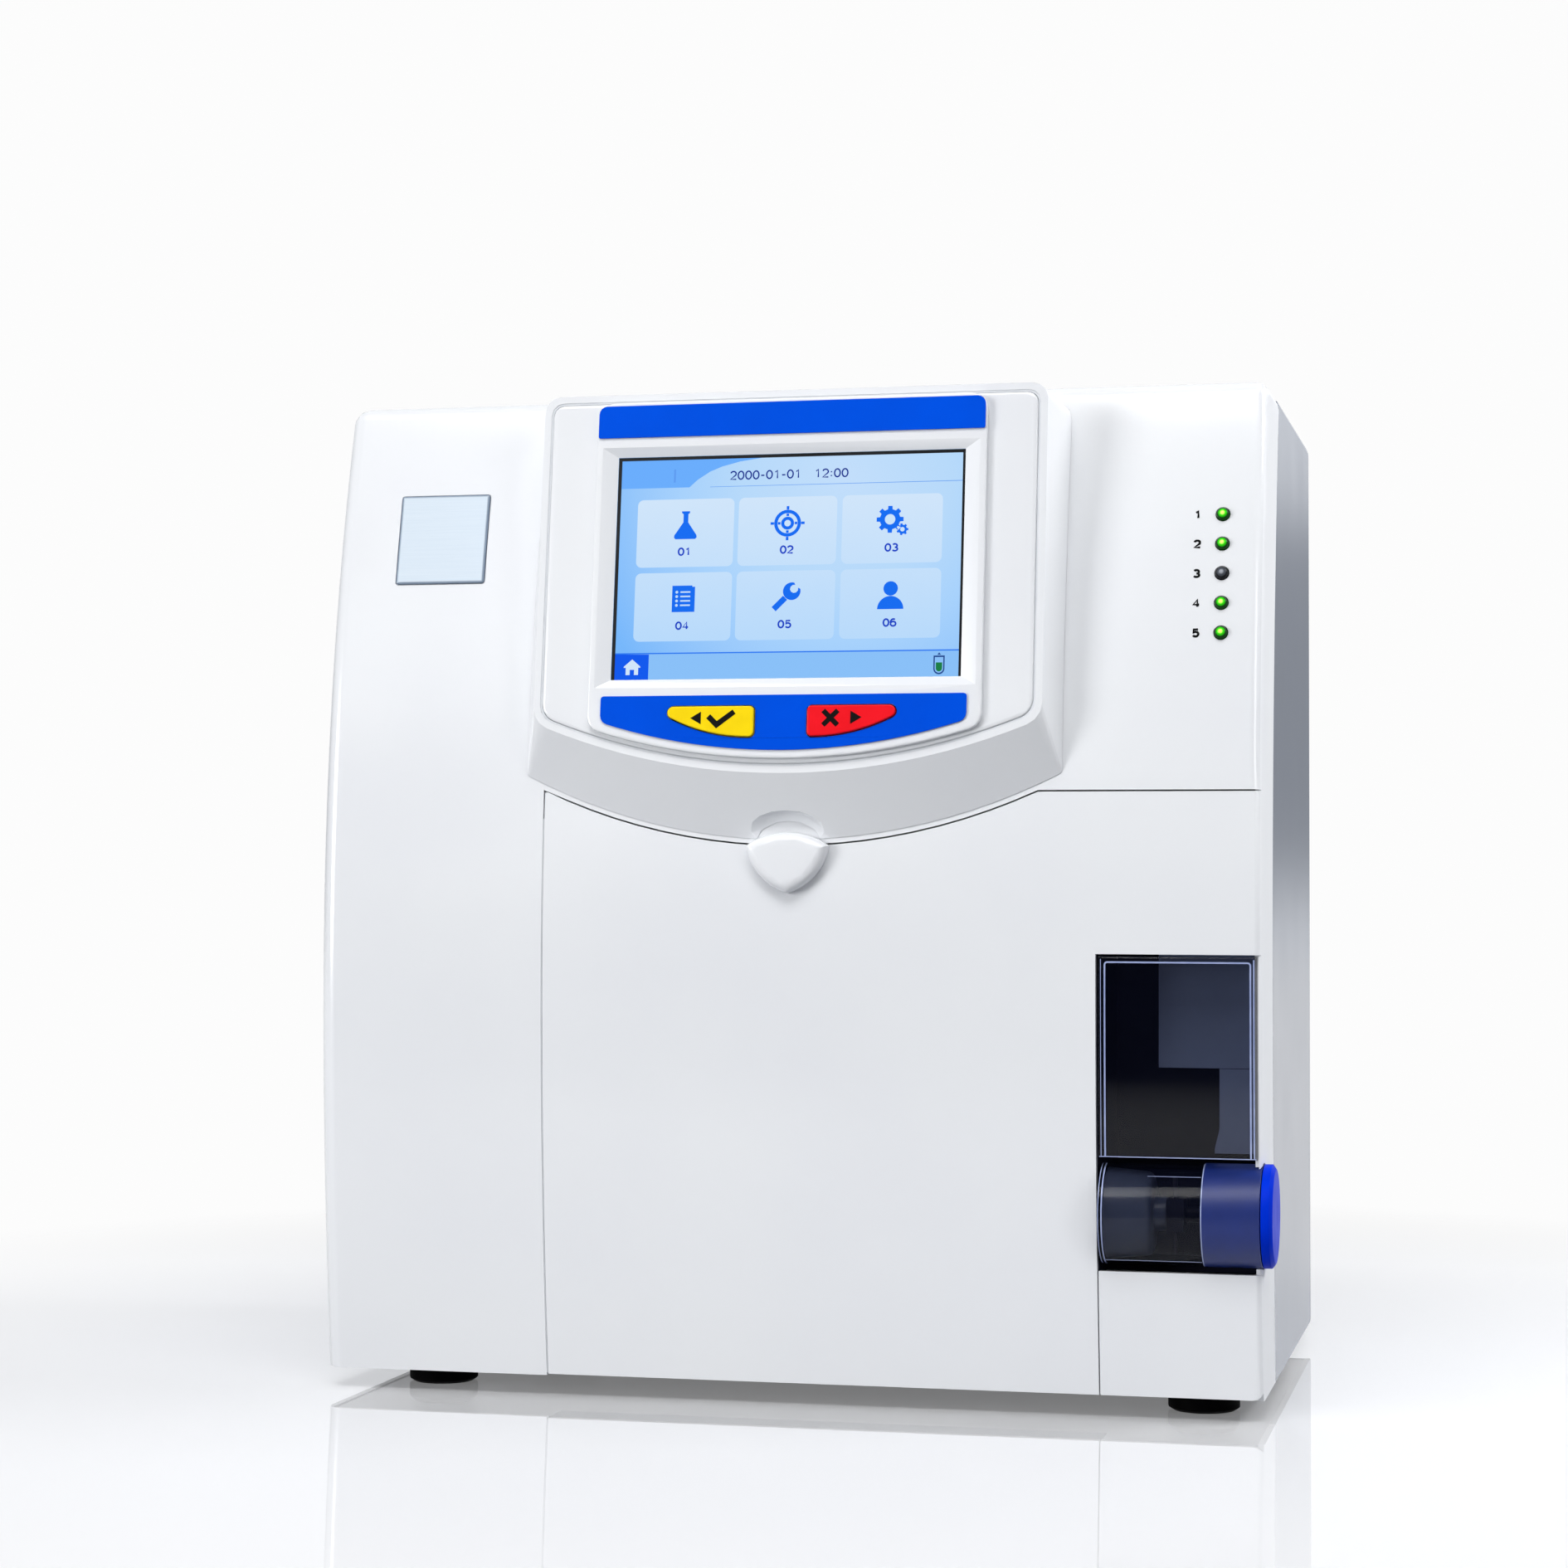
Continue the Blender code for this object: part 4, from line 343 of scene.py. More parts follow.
def meshFromCurve(curve):
    drawn = newObject("drawn", curve)
    mesh = bpy.data.meshes.new_from_object(drawn.evaluated_get(bpy.context.evaluated_depsgraph_get()))
    bpy.data.objects.remove(drawn)
    bpy.data.curves.remove(curve)
    return mesh


def flatShape(outlines, low, high, place):
    # outlines in millimetres, with holes as further outlines inside, filled and given a thickness
    curve = bpy.data.curves.new("drawn", "CURVE")
    curve.dimensions = "2D"
    curve.fill_mode = "BOTH"
    curve.extrude = (high - low) / 2 * mm
    for outline in outlines:
        spline = curve.splines.new("POLY")
        spline.points.add(len(outline) - 1)
        for point, (a, b) in zip(spline.points, outline):
            point.co = (a * mm, b * mm, 0, 1)
        spline.use_cyclic_u = True
    mesh = meshFromCurve(curve)
    shape = bmesh.new()
    shape.from_mesh(mesh)
    bpy.data.meshes.remove(mesh)
    bmesh.ops.remove_doubles(shape, verts=shape.verts, dist=0.000001)
    bmesh.ops.transform(shape, matrix=place @ Matrix.Translation((0, 0, (low + high) / 2 * mm)),
                        verts=shape.verts)
    return shape


def flatPiece(name, outlines, low, high, place, material, body):
    return meshPiece(name, flatShape(outlines, low, high, place), material, body)


def spun(a, b, turn, x=0.0, y=0.0):
    # a point turned about the origin, then moved
    c, s = math.cos(turn), math.sin(turn)
    return (x + a * c - b * s, y + a * s + b * c)


def ring(x, y, radius, count=28, start=0.0, sweep=360.0):
    whole = sweep >= 360
    steps = count if whole else count - 1
    angles = [math.radians(start + sweep * i / steps) for i in range(count)]
    return [(x + radius * math.cos(a), y + radius * math.sin(a)) for a in angles]


def roundBox(left, low, right, high, radius, steps=6):
    corners = ((right - radius, low + radius, 270), (right - radius, high - radius, 0),
               (left + radius, high - radius, 90), (left + radius, low + radius, 180))
    return [p for x, y, start in corners for p in ring(x, y, radius, steps, start, 90)]


def oval(x, y, wide, tall, start, sweep, count):
    angles = [math.radians(start + sweep * i / (count - 1)) for i in range(count)]
    return [(x + wide * math.cos(a), y + tall * math.sin(a)) for a in angles]


# each figure is one or two pen strokes in a box one unit high
figureStrokes = {
    "0": [oval(0, 0.5, 0.3, 0.5, 90, 360, 25)],
    "1": [[(-0.18, 0.78), (0.05, 1.0), (0.05, 0.0)]],
    "2": [oval(0, 0.7, 0.29, 0.3, 165, -200, 14) + [(-0.3, 0.0), (0.31, 0.0)]],
    "3": [oval(-0.02, 0.745, 0.26, 0.255, 150, -240, 14), oval(-0.02, 0.26, 0.3, 0.26, 90, -240, 14)],
    "4": [[(0.14, 0.0), (0.14, 1.0), (-0.3, 0.28), (0.32, 0.28)]],
    "5": [[(0.26, 1.0), (-0.2, 1.0), (-0.25, 0.53)] + oval(0, 0.33, 0.3, 0.33, 132, -282, 16)],
    "6": [oval(0.02, 0.5, 0.32, 0.5, 55, 125, 12) + oval(0, 0.32, 0.3, 0.32, 180, -360, 22)],
    "-": [[(-0.18, 0.42), (0.18, 0.42)]],
    ":": [[(0, 0.1), (0, 0.24)], [(0, 0.58), (0, 0.72)]],
}
figureWidths = {"-": 0.62, ":": 0.45, " ": 0.5}


def numberPiece(name, words, tall, pen, material, body):
    # plain figures as flattened strokes: words holds (text, middle x, foot y, frame), in millimetres
    shape = bmesh.new()
    for text, x, y, place in words:
        curve = bpy.data.curves.new("figures", "CURVE")
        curve.dimensions = "3D"
        curve.bevel_depth = pen / 2 * mm
        curve.bevel_resolution = 0
        curve.use_fill_caps = True
        along = -sum(figureWidths.get(sign, 0.82) for sign in text) / 2
        for sign in text:
            wide = figureWidths.get(sign, 0.82)
            for stroke in figureStrokes[sign]:
                closed = math.dist(stroke[0], stroke[-1]) < 0.001
                points = stroke[:-1] if closed else stroke
                spline = curve.splines.new("POLY")
                spline.points.add(len(points) - 1)
                for point, (a, b) in zip(spline.points, points):
                    point.co = ((x + (along + wide / 2 + a) * tall) * mm,
                                (y + pen / 2 + b * (tall - pen)) * mm, 0, 1)
                spline.use_cyclic_u = closed
            along += wide
        mesh = meshFromCurve(curve)
        mesh.transform(place @ Matrix.Scale(0.1, 4, (0, 0, 1)))
        shape.from_mesh(mesh)
        bpy.data.meshes.remove(mesh)
    return meshPiece(name, shape, material, body)


# millimetres on the head's own axes
screenLook = {"glassFront": 0.6, "half": 67.3, "low": 31.0, "high": 117.3, "maskSide": 1.35, "maskTop": 1.3,
              "headerLine": 105.2, "footerLine": 41.2, "cornerRadius": 2.2, "glow": 0.97,
              "black": (0.006, 0.008, 0.012, 1), "brightSpot": (22.0, 108.0, 0.0), "fadeMm": 110.0,
              "menuTall": 3.3, "menuPen": 0.66, "menuRise": 4.3,
              "clockTall": 3.6, "clockPen": 0.55, "clockFoot": 107.6,
              "columns": ((-59.1, -21.2), (-19.4, 18.7), (20.75, 59.05)),
              "rows": ((74.3, 100.6), (45.7, 72.1))}


def litPixels(name, colour, foot=None):
    # part of the lit picture: light from behind that fades a little towards the foot, with a faint cloudiness
    material, tree = newMaterial(name)
    spot = addNode(tree, "ShaderNodeSeparateXYZ", {}, {0: headMillimetres(tree)})
    level = addNode(tree, "ShaderNodeMapRange", {"From Min": 46.0, "From Max": 100.0},
                    {"Value": spot.outputs["Y"]})
    cloud = addNode(tree, "ShaderNodeTexNoise", {"Scale": 0.12, "Detail": 2.0},
                    {"Vector": headMillimetres(tree)})
    sway = addNode(tree, "ShaderNodeMath", {"operation": "MULTIPLY_ADD", 1: 0.12, 2: -0.06},
                   {0: cloud.outputs["Fac"]})
    mixed = addNode(tree, "ShaderNodeMath", {"operation": "ADD"}, {0: level, 1: sway})
    low = linear(foot) if foot else tuple(c * 0.97 for c in linear(colour)[:3]) + (1.0,)
    tone = inkedRamp(tree, [(0.0, low), (1.0, linear(colour))], mixed)
    shader = addNode(tree, "ShaderNodeBsdfPrincipled", {"Base Color": screenLook["black"], "Roughness": 0.22,
                     "Specular IOR Level": 0.04, "Emission Strength": screenLook["glow"]},
                     {"Emission Color": tone})
    return closeMaterial(material, shader)


def litPicture(look):
    # liquid-crystal picture under glass: brightest right of its middle, cooler towards the left and the foot
    material, tree = newMaterial("lit display under glass")
    place = headMillimetres(tree)
    away = addNode(tree, "ShaderNodeVectorMath", {"operation": "DISTANCE", 1: look["brightSpot"]}, {0: place})
    share = addNode(tree, "ShaderNodeMath", {"operation": "DIVIDE", 1: look["fadeMm"]},
                    {0: away.outputs["Value"]})
    tone = inkedRamp(tree, [(0.0, linear("#C4E0FD")), (0.37, linear("#B8DBFC")), (0.58, linear("#A8D3FE")),
                            (0.74, linear("#98C9FD")), (0.97, linear("#76B8FD"))], share)
    smear = addNode(tree, "ShaderNodeTexNoise", {"Scale": 0.03, "Detail": 3.0}, {"Vector": place})
    rough = addNode(tree, "ShaderNodeMapRange", {"To Min": 0.06, "To Max": 0.14},
                    {"Value": smear.outputs["Fac"]})
    shader = addNode(tree, "ShaderNodeBsdfPrincipled", {"Base Color": look["black"], "IOR": 1.5,
                     "Specular IOR Level": 0.2, "Emission Strength": look["glow"]},
                     {"Emission Color": tone, "Roughness": rough})
    return closeMaterial(material, shader)


def gearOutline(x, y, radius, teeth):
    outline = []
    for i in range(teeth):
        turn = 360 * i / teeth
        for reach, offset in ((0.76, -13), (1.0, -9), (1.0, 9), (0.76, 13)):
            angle = math.radians(turn + offset * 8 / teeth)
            outline.append((x + radius * reach * math.cos(angle), y + radius * reach * math.sin(angle)))
    return outline


def barAt(x, y, angle, reach, half):
    # a straight bar's outline from one point outwards
    corners = ((reach[0], -half), (reach[1], -half), (reach[1], half), (reach[0], half))
    return [spun(a, b, math.radians(angle), x, y) for a, b in corners]


def makeScreen(look):
    dress("screen_glass", litPicture(look), 0)
    face = onHead(look["glassFront"])
    half, low, high = look["half"], look["low"], look["high"]

    def layer(name, outlines, under, over, pixels, *colours):
        flatPiece(name, outlines, under, over, face, litPixels(f"{pixels} pixels", *colours), "case")

    inLeft, inRight, inTop = -half + look["maskSide"], half - 0.95, high - look["maskTop"]
    mask = mouldedPlastic("black screen mask", {"colour": "#05070C", "shade": "#080A10", "roughness": 0.3,
                          "roughSpread": 0.03, "cloudMm": 20, "grainMm": 0.8, "bump": 0.05, "ior": 1.5})
    maskOutline = [(-half, low), (-half, high), (half, high), (half, low), (inRight, low), (inRight, inTop),
                   (inLeft, inTop), (inLeft, low)]
    flatPiece("screenMask", [maskOutline], 0.02, 0.10, face, mask, "case")

    rule = look["headerLine"]
    header = [(inLeft, rule), (-39.1, rule), (-35.9, 108.1), (-31.2, 111.1), (-26.5, 113.0),
              (-19.4, 114.8), (-11.0, inTop), (inLeft, inTop)]
    layer("headerShade", [header], 0.01, 0.03, "header blue", "#6AAEFE")
    lines = [[(-31, rule - 0.12), (inRight, rule - 0.05), (inRight, rule + 0.2), (-31, rule + 0.05)],
             [(-45.3, 107.2), (-44.6, 107.2), (-44.6, 112.3), (-45.3, 112.3)]]
    layer("headerLines", lines, 0.03, 0.05, "header line", "#5E9CF2")

    tiles = [roundBox(a, b, c, d, look["cornerRadius"]) for a, c in look["columns"] for b, d in look["rows"]]
    layer("menuTiles", tiles, 0.01, 0.04, "pale tile", "#D2E7FC", "#BADCFD")

    # a flask, a target, two gears, a list, a wrench and a head with shoulders
    icons = []
    flask = [(-41.7, 95.9), (-38.5, 95.9), (-38.5, 95.2), (-39.1, 94.8), (-39.1, 91.6), (-35.7, 86.6),
             (-35.6, 85.7),
             (-36.2, 85.1), (-43.9, 85.1), (-44.5, 85.7), (-44.4, 86.6), (-41.0, 91.6), (-41.0, 94.8),
             (-41.6, 95.2)]
    icons.append(flask)
    icons += [ring(-0.3, 90.4, 5.2), ring(-0.3, 90.4, 3.9), ring(-0.3, 90.4, 2.5), ring(-0.3, 90.4, 1.25)]
    for angle in (0, 90, 180, 270):
        icons.append(barAt(-0.3, 90.4, angle, (2.75, 3.75), 0.5))
        icons.append(barAt(-0.3, 90.4, angle, (5.25, 6.6), 0.5))
    icons += [gearOutline(39.1, 91.0, 5.2, 8), ring(39.1, 91.0, 2.0), gearOutline(43.9, 87.1, 2.3, 7),
              ring(43.9, 87.1, 0.85)]
    icons.append([(-44.4, 56.9), (-35.5, 56.9), (-35.5, 66.6), (-36.6, 66.6), (-36.6, 67.1), (-44.4, 67.1)])
    for i in range(4):
        y = 64.6 - 1.7 * i
        icons += [ring(-42.6, y, 0.55, 12),
                  [(-41.2, y - 0.3), (-37.3, y - 0.3), (-37.3, y + 0.3), (-41.2, y + 0.3)]]
    jaw = ring(2.1, 64.2, 3.4, 22, 75, 300)
    icons.append(jaw + ring(3.0, 65.1, 1.6, 9, 15, -300))
    icons.append(barAt(2.1, 64.2, 225, (3.5, 9.6), 1.15))
    icons += [ring(40.0, 64.6, 2.75), ring(40.0, 56.75, 5.0, 24, 0, 180)]
    layer("menuIcons", icons, 0.05, 0.07, "icon blue", "#0A6CF5")

    above = onHead(look["glassFront"] + 0.06)
    middles = [((a + c) / 2, b) for b, _ in look["rows"] for a, c in look["columns"]]
    words = [(f"{i + 1:02d}", x, low + look["menuRise"], above) for i, (x, low) in enumerate(middles)]
    numberPiece("menuNumbers", words, look["menuTall"], look["menuPen"],
                litPixels("number blue pixels", "#1240C8"), "case")
    clock = [(text, x, look["clockFoot"], above) for text, x in (("2000-01-01", -9.4), ("12:00", 16.1))]
    numberPiece("clockNumbers", clock, look["clockTall"], look["clockPen"],
                litPixels("clock blue pixels", "#0A2A90"), "case")

    rule = look["footerLine"]
    footer = [(inLeft, low), (inRight, low), (inRight, rule), (inLeft, rule)]
    layer("footerBar", [footer], 0.01, 0.03, "footer blue", "#8CC4FD")
    line = [(inLeft, rule - 0.35), (inRight, rule - 0.5), (inRight, rule), (inLeft, rule + 0.15)]
    layer("footerLine", [line], 0.04, 0.06, "footer line", "#2B7CF6")
    home = [(inLeft, low), (-52.7, low), (-52.7, rule - 0.5), (inLeft, rule - 0.3)]
    layer("homeTile", [home], 0.04, 0.06, "home blue", "#0058F2")
    house = [(-61.6, 32.9), (-60.0, 32.9), (-60.0, 34.9), (-58.3, 34.9), (-58.3, 32.9), (-56.7, 32.9),
             (-56.7, 35.7),
             (-55.9, 35.7), (-55.9, 36.1), (-59.15, 38.9), (-62.4, 36.1), (-62.4, 35.7), (-61.6, 35.7)]
    layer("homeMark", [house], 0.07, 0.09, "home white", "#D6EAFF")
    tube = [(56.9, 38.9), (61.1, 38.9), (61.1, 33.9)] + ring(59.0, 33.9, 2.1, 9, 0, -180) + [(56.9, 33.9)]
    bore = [(57.4, 38.3), (60.6, 38.3), (60.6, 34.0)] + ring(59.0, 34.0, 1.6, 9, 0, -180) + [(57.4, 34.0)]
    stopper = [(58.3, 39.2), (59.7, 39.2), (59.0, 40.1)]
    layer("tubeMark", [tube, bore, stopper], 0.05, 0.07, "tube blue", "#1E4890")
    fill = [(57.8, 36.3), (60.2, 36.3), (60.2, 34.1)] + ring(59.0, 34.1, 1.2, 9, 0, -180) + [(57.8, 34.1)]
    layer("tubeFill", [fill], 0.05, 0.07, "tube green", "#128040")


makeScreen(screenLook)
print("screen picture laid")


keyLook = {"top": 4.6, "ink": "#060504"}


def makeKeyMarks(look):
    face = onHead(look["top"])
    ink = printedInk("black key ink", look["ink"])
    left = [[(-34.6, 15.5), (-30.5, 13.1), (-30.5, 17.9)]]
    left.append([(-28.4, 15.4), (-26.9, 16.9), (-24.3, 14.3), (-18.3, 18.6), (-17.1, 17.0), (-24.5, 11.5)])
    flatPiece("leftKeyMark", left, 0.0, 0.05, face, ink, "left_key_cap")
    right = [[(31.0, 15.3), (26.8, 12.8), (26.8, 17.8)]]
    cross = []
    for quarter in range(4):
        turn = math.radians(45 + 90 * quarter)
        for a, b in ((0.95, -0.95), (3.9, -0.95), (3.9, 0.95)):
            cross.append(spun(a, b, turn, 19.2, 15.2))
    right.append(cross)
    flatPiece("rightKeyMark", right, 0.0, 0.05, face, ink, "right_key_cap")


makeKeyMarks(keyLook)
print("keys marked")


# the middle light's height and the pitch in metres, the labels in millimetres
lightLook = {"middle": 0.3122, "pitch": 0.01117, "unlit": 2, "glow": 0.45, "pen": 0.85,
             # each lens's tones run from its rim to its middle: the dark rim tone is painted shade, the pale
             # middle a painted highlight
             "lit": ("#063004", "#1C9A08", "#30C60A", "#D4F470"),
             "off": ("#17181C", "#43474E", "#4C5058", "#A0A4AC"),
             "ink": "#050607", "labelAway": 9.3, "labelTall": 3.5}


def lensWithPaintedShade(name, tones, glow, axis):
    # diffused epoxy dome: bright over the chip in its middle, nearly black at the rim where it turns away;
    # the dark rim is painted shade and the pale middle partly a painted highlight, though the lit lens also
    # glows
    material, tree = newMaterial(name)
    normal = addNode(tree, "ShaderNodeTexCoord").outputs["Normal"]
    turn = addNode(tree, "ShaderNodeVectorMath", {"operation": "DOT_PRODUCT", 1: axis}, {0: normal})
    tone = inkedRamp(tree, [(0.66, linear(tones[0])), (0.75, linear(tones[1])), (0.9, linear(tones[2])),
                            (0.99, linear(tones[3]))], turn.outputs["Value"])
    shader = addNode(tree, "ShaderNodeBsdfPrincipled",
                     {"Roughness": 0.2, "IOR": 1.5, "Specular IOR Level": 0.08,
                      "Emission Strength": glow}, {"Base Color": tone, "Emission Color": tone})
    return closeMaterial(material, shader)


def makeLights(look):
    axis = onFront(look["middle"]).to_3x3() @ Vector((0, 0, 1))
    lit = lensWithPaintedShade("green epoxy lens lit", look["lit"], look["glow"], axis)
    off = lensWithPaintedShade("grey epoxy lens unlit", look["off"], 0.0, axis)
    words = []
    for i in range(5):
        name = f"status_light_{i + 1}"
        dress(name, off if i == look["unlit"] else lit, 0)
        low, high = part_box(name)
        words.append((f"{i + 1}", (low.x + high.x) / 2 / mm - look["labelAway"], -look["labelTall"] / 2,
                      onFront(look["middle"] + (2 - i) * look["pitch"], 0.1)))
    ink = printedInk("black panel ink", look["ink"])
    numberPiece("lightNumbers", words, look["labelTall"], look["pen"], ink, "case")


makeLights(lightLook)
print("lights dressed")


badgeLook = {"field": "#D2DFEB", "shine": "#D7E3EE", "edge": "#8494A8", "middle": (-0.14035, 0.3313),
             "half": 18.1}


def badgeWithPaintedEdgeShade(look):
    # satin anodised aluminium under a clear domed film; the darker band along the edge is painted shade where
    # the film rolls over it
    material, tree = newMaterial("silver-blue anodised aluminium")
    x, z = look["middle"]
    frameHere = Matrix.Translation((x, 0, 0)) @ onFront(z)
    place = addNode(tree, "ShaderNodeTexCoord").outputs["Object"]
    local = addNode(tree, "ShaderNodeMapping",
                    {"vector_type": "TEXTURE", "Location": tuple(frameHere.translation),
                     "Rotation": tuple(frameHere.to_euler()), "Scale": (mm, mm, mm)}, {"Vector": place})
    spot = addNode(tree, "ShaderNodeSeparateXYZ", {},
                   {0: addNode(tree, "ShaderNodeVectorMath", {"operation": "ABSOLUTE"},
                               {0: local}).outputs[0]})
    far = addNode(tree, "ShaderNodeMath", {"operation": "MAXIMUM"},
                  {0: spot.outputs["X"], 1: spot.outputs["Y"]})
    # painted shade: this mask darkens the band along the badge's edge
    rim = addNode(tree, "ShaderNodeMapRange",
                  {"From Min": look["half"] - 1.1, "From Max": look["half"] - 0.5},
                  {"Value": far})
    brush = addNode(tree, "ShaderNodeMapping", {"Scale": (0.02, 1.0, 1.0)}, {"Vector": local})
    lines = addNode(tree, "ShaderNodeTexNoise", {"Scale": 2.0, "Detail": 4.0}, {"Vector": brush})
    field = inkedRamp(tree, [(0.3, linear(look["field"])), (0.7, linear(look["shine"]))],
                      lines.outputs["Fac"])
    tone = addNode(tree, "ShaderNodeMix", {"data_type": "RGBA", 7: linear(look["edge"])}, {0: rim, 6: field})
    bump = addNode(tree, "ShaderNodeBump", {"Strength": 0.05, "Distance": 0.00005},
                   {"Height": lines.outputs["Fac"]})
    shader = addNode(tree, "ShaderNodeBsdfPrincipled", {"Metallic": 0.1, "Roughness": 0.3, "IOR": 1.5,
                     "Specular IOR Level": 0.3, "Coat Weight": 0.3, "Coat Roughness": 0.08},
                     {"Base Color": tone.outputs[2], "Normal": bump})
    return closeMaterial(material, shader)


dress("badge_plate", badgeWithPaintedEdgeShade(badgeLook), 0.1)
print("badge plate dressed")


def shieldOutline(half, high, low, arcRadius, topRadius, bottomRadius):
    # straight sides, a flat top and a broad arc below, every corner rounded, in millimetres
    arcCentre = low + arcRadius
    corner = half - bottomRadius
    level = arcCentre - math.sqrt((arcRadius - bottomRadius) ** 2 - corner ** 2)
    meet = math.degrees(math.atan2(level - arcCentre, corner))
    right = ring(0, arcCentre, arcRadius, 17, -90, meet + 90) + ring(corner, level, bottomRadius, 7, meet,
                                                                     -meet)[1:]
    right += ring(half - topRadius, high - topRadius, topRadius, 7, 0, 90)
    return right + [(-a, b) for a, b in reversed(right[1:])]


def lipOutline(inset):
    return shieldOutline(97.8 - inset, 142.3 - inset, -4.8 + inset, 250 - inset, 6 - inset / 2, 9 - inset / 2)


# painted shade: a pale grey strip laid in the groove between the lip and the bezel, coloured like the
# groove's soft shade
grooveShadeFill = mouldedPlastic("pale grey silicone gasket",
                        {"colour": "#DDE0E4", "shade": "#D6D9DE", "roughness": 0.5,
                         "roughSpread": 0.04, "cloudMm": 8, "grainMm": 0.8, "bump": 0.06, "ior": 1.43})
flatPiece("bezelGrooveShade", [lipOutline(2.62), lipOutline(3.38)], -1.6, -0.3, onHead(0), grooveShadeFill, "case")


def skin(shape, loops):
    # faces between neighbouring loops that have the same number of corners
    for first, second in zip(loops, loops[1:]):
        count = len(first)
        for i in range(count):
            shape.faces.new((first[i], first[(i + 1) % count], second[(i + 1) % count], second[i]))


def stripEnds(shape, rows):
    shape.faces.new(list(reversed(rows[0])))
    shape.faces.new(rows[-1])


def frontBand(name, path, width, sink, deep, material, body):
    # a strip that follows the curved front along a path of (x, z) points, set into it or standing on it
    shape = bmesh.new()
    rows = []
    for i, (x, z) in enumerate(path):
        before, after = Vector(path[max(i - 1, 0)]), Vector(path[min(i + 1, len(path) - 1)])
        side = (after - before).normalized().orthogonal() * width / 2 * mm
        rows.append([shape.verts.new((x + sign * side.x, frontY(z + sign * side.y) + depth * mm,
                                      z + sign * side.y))
                     for sign, depth in ((-1, sink), (1, sink), (1, deep), (-1, deep))])
    skin(shape, rows)
    stripEnds(shape, rows)
    bmesh.ops.recalc_face_normals(shape, faces=shape.faces)
    return meshPiece(name, shape, material, body, True)


def upright(x, low, high, steps=24):
    return [(x, low + (high - low) * i / steps) for i in range(steps + 1)]


frontBand("doorSeamLip", upright(-0.09366, 0.009, 0.2215, 60), 0.34, 0.45, 2.0, finishes["shell"], "case")
frontBand("panelSeamLip", upright(0.11985, 0.009, 0.0545), 0.34, 0.35, 2.0, finishes["shell"], "case")
print("gasket and seam lips fitted")


# millimetres, the axis in metres; a painted rim highlight is (from x, width, radii, degrees round the axis,
# steps)
samplerLook = {"windowLeft": 120.05, "windowRight": 178.35, "windowTop": 170.8, "windowLow": 96.6,
               "paintedGlint": "#A9B6E0", "axis": (-0.102413, 0.0757), "carrierFront": (93.95, 94.35),
               "carrier": ((140.25, 129.0), (176.5, 129.0), (176.5, 173.4), (140.25, 173.4)),
               "carrierPost": ((162.75, 128.8), (162.75, 106.5), (161.0, 99.5), (161.0, 97.6), (176.5, 97.6),
                               (176.5, 128.8)),
               "paintedRimGlints": ((122.05, 0.5, (18.5, 18.66), (98, 262), 32),
                            (120.9, 0.3, (18.5, 18.64), (98, 262), 32),
                            (158.4, 0.4, (18.8, 19.05), (98, 262), 32),
                            (122.6, 35.4, (18.5, 18.63), (242.2, 243.2), 1),
                            (138.4, 19.5, (18.5, 18.62), (127.6, 128.2), 1)),
               "cone": ((122.55, 3.2), (122.55, 16.6), (122.75, 16.75), (137.6, 15.4), (138.7, 14.9),
                        (139.4, 14.0), (139.75, 12.7), (139.9, 10.8), (139.95, 6.4), (144.3, 6.2),
                        (144.55, 5.9), (144.55, 3.2))}


def turnedPiece(name, profile, y, z, material, body, count=56):
    # a profile of (x, radius) in millimetres turned about the axis at (y, z)
    shape = bmesh.new()
    turns = [2 * math.pi * i / count for i in range(count)]
    loops = [[shape.verts.new((x * mm, y + radius * mm * math.cos(turn), z + radius * mm * math.sin(turn)))
              for turn in turns] for x, radius in profile]
    skin(shape, loops + loops[:1])
    bmesh.ops.recalc_face_normals(shape, faces=shape.faces)
    return meshPiece(name, shape, material, body, True)


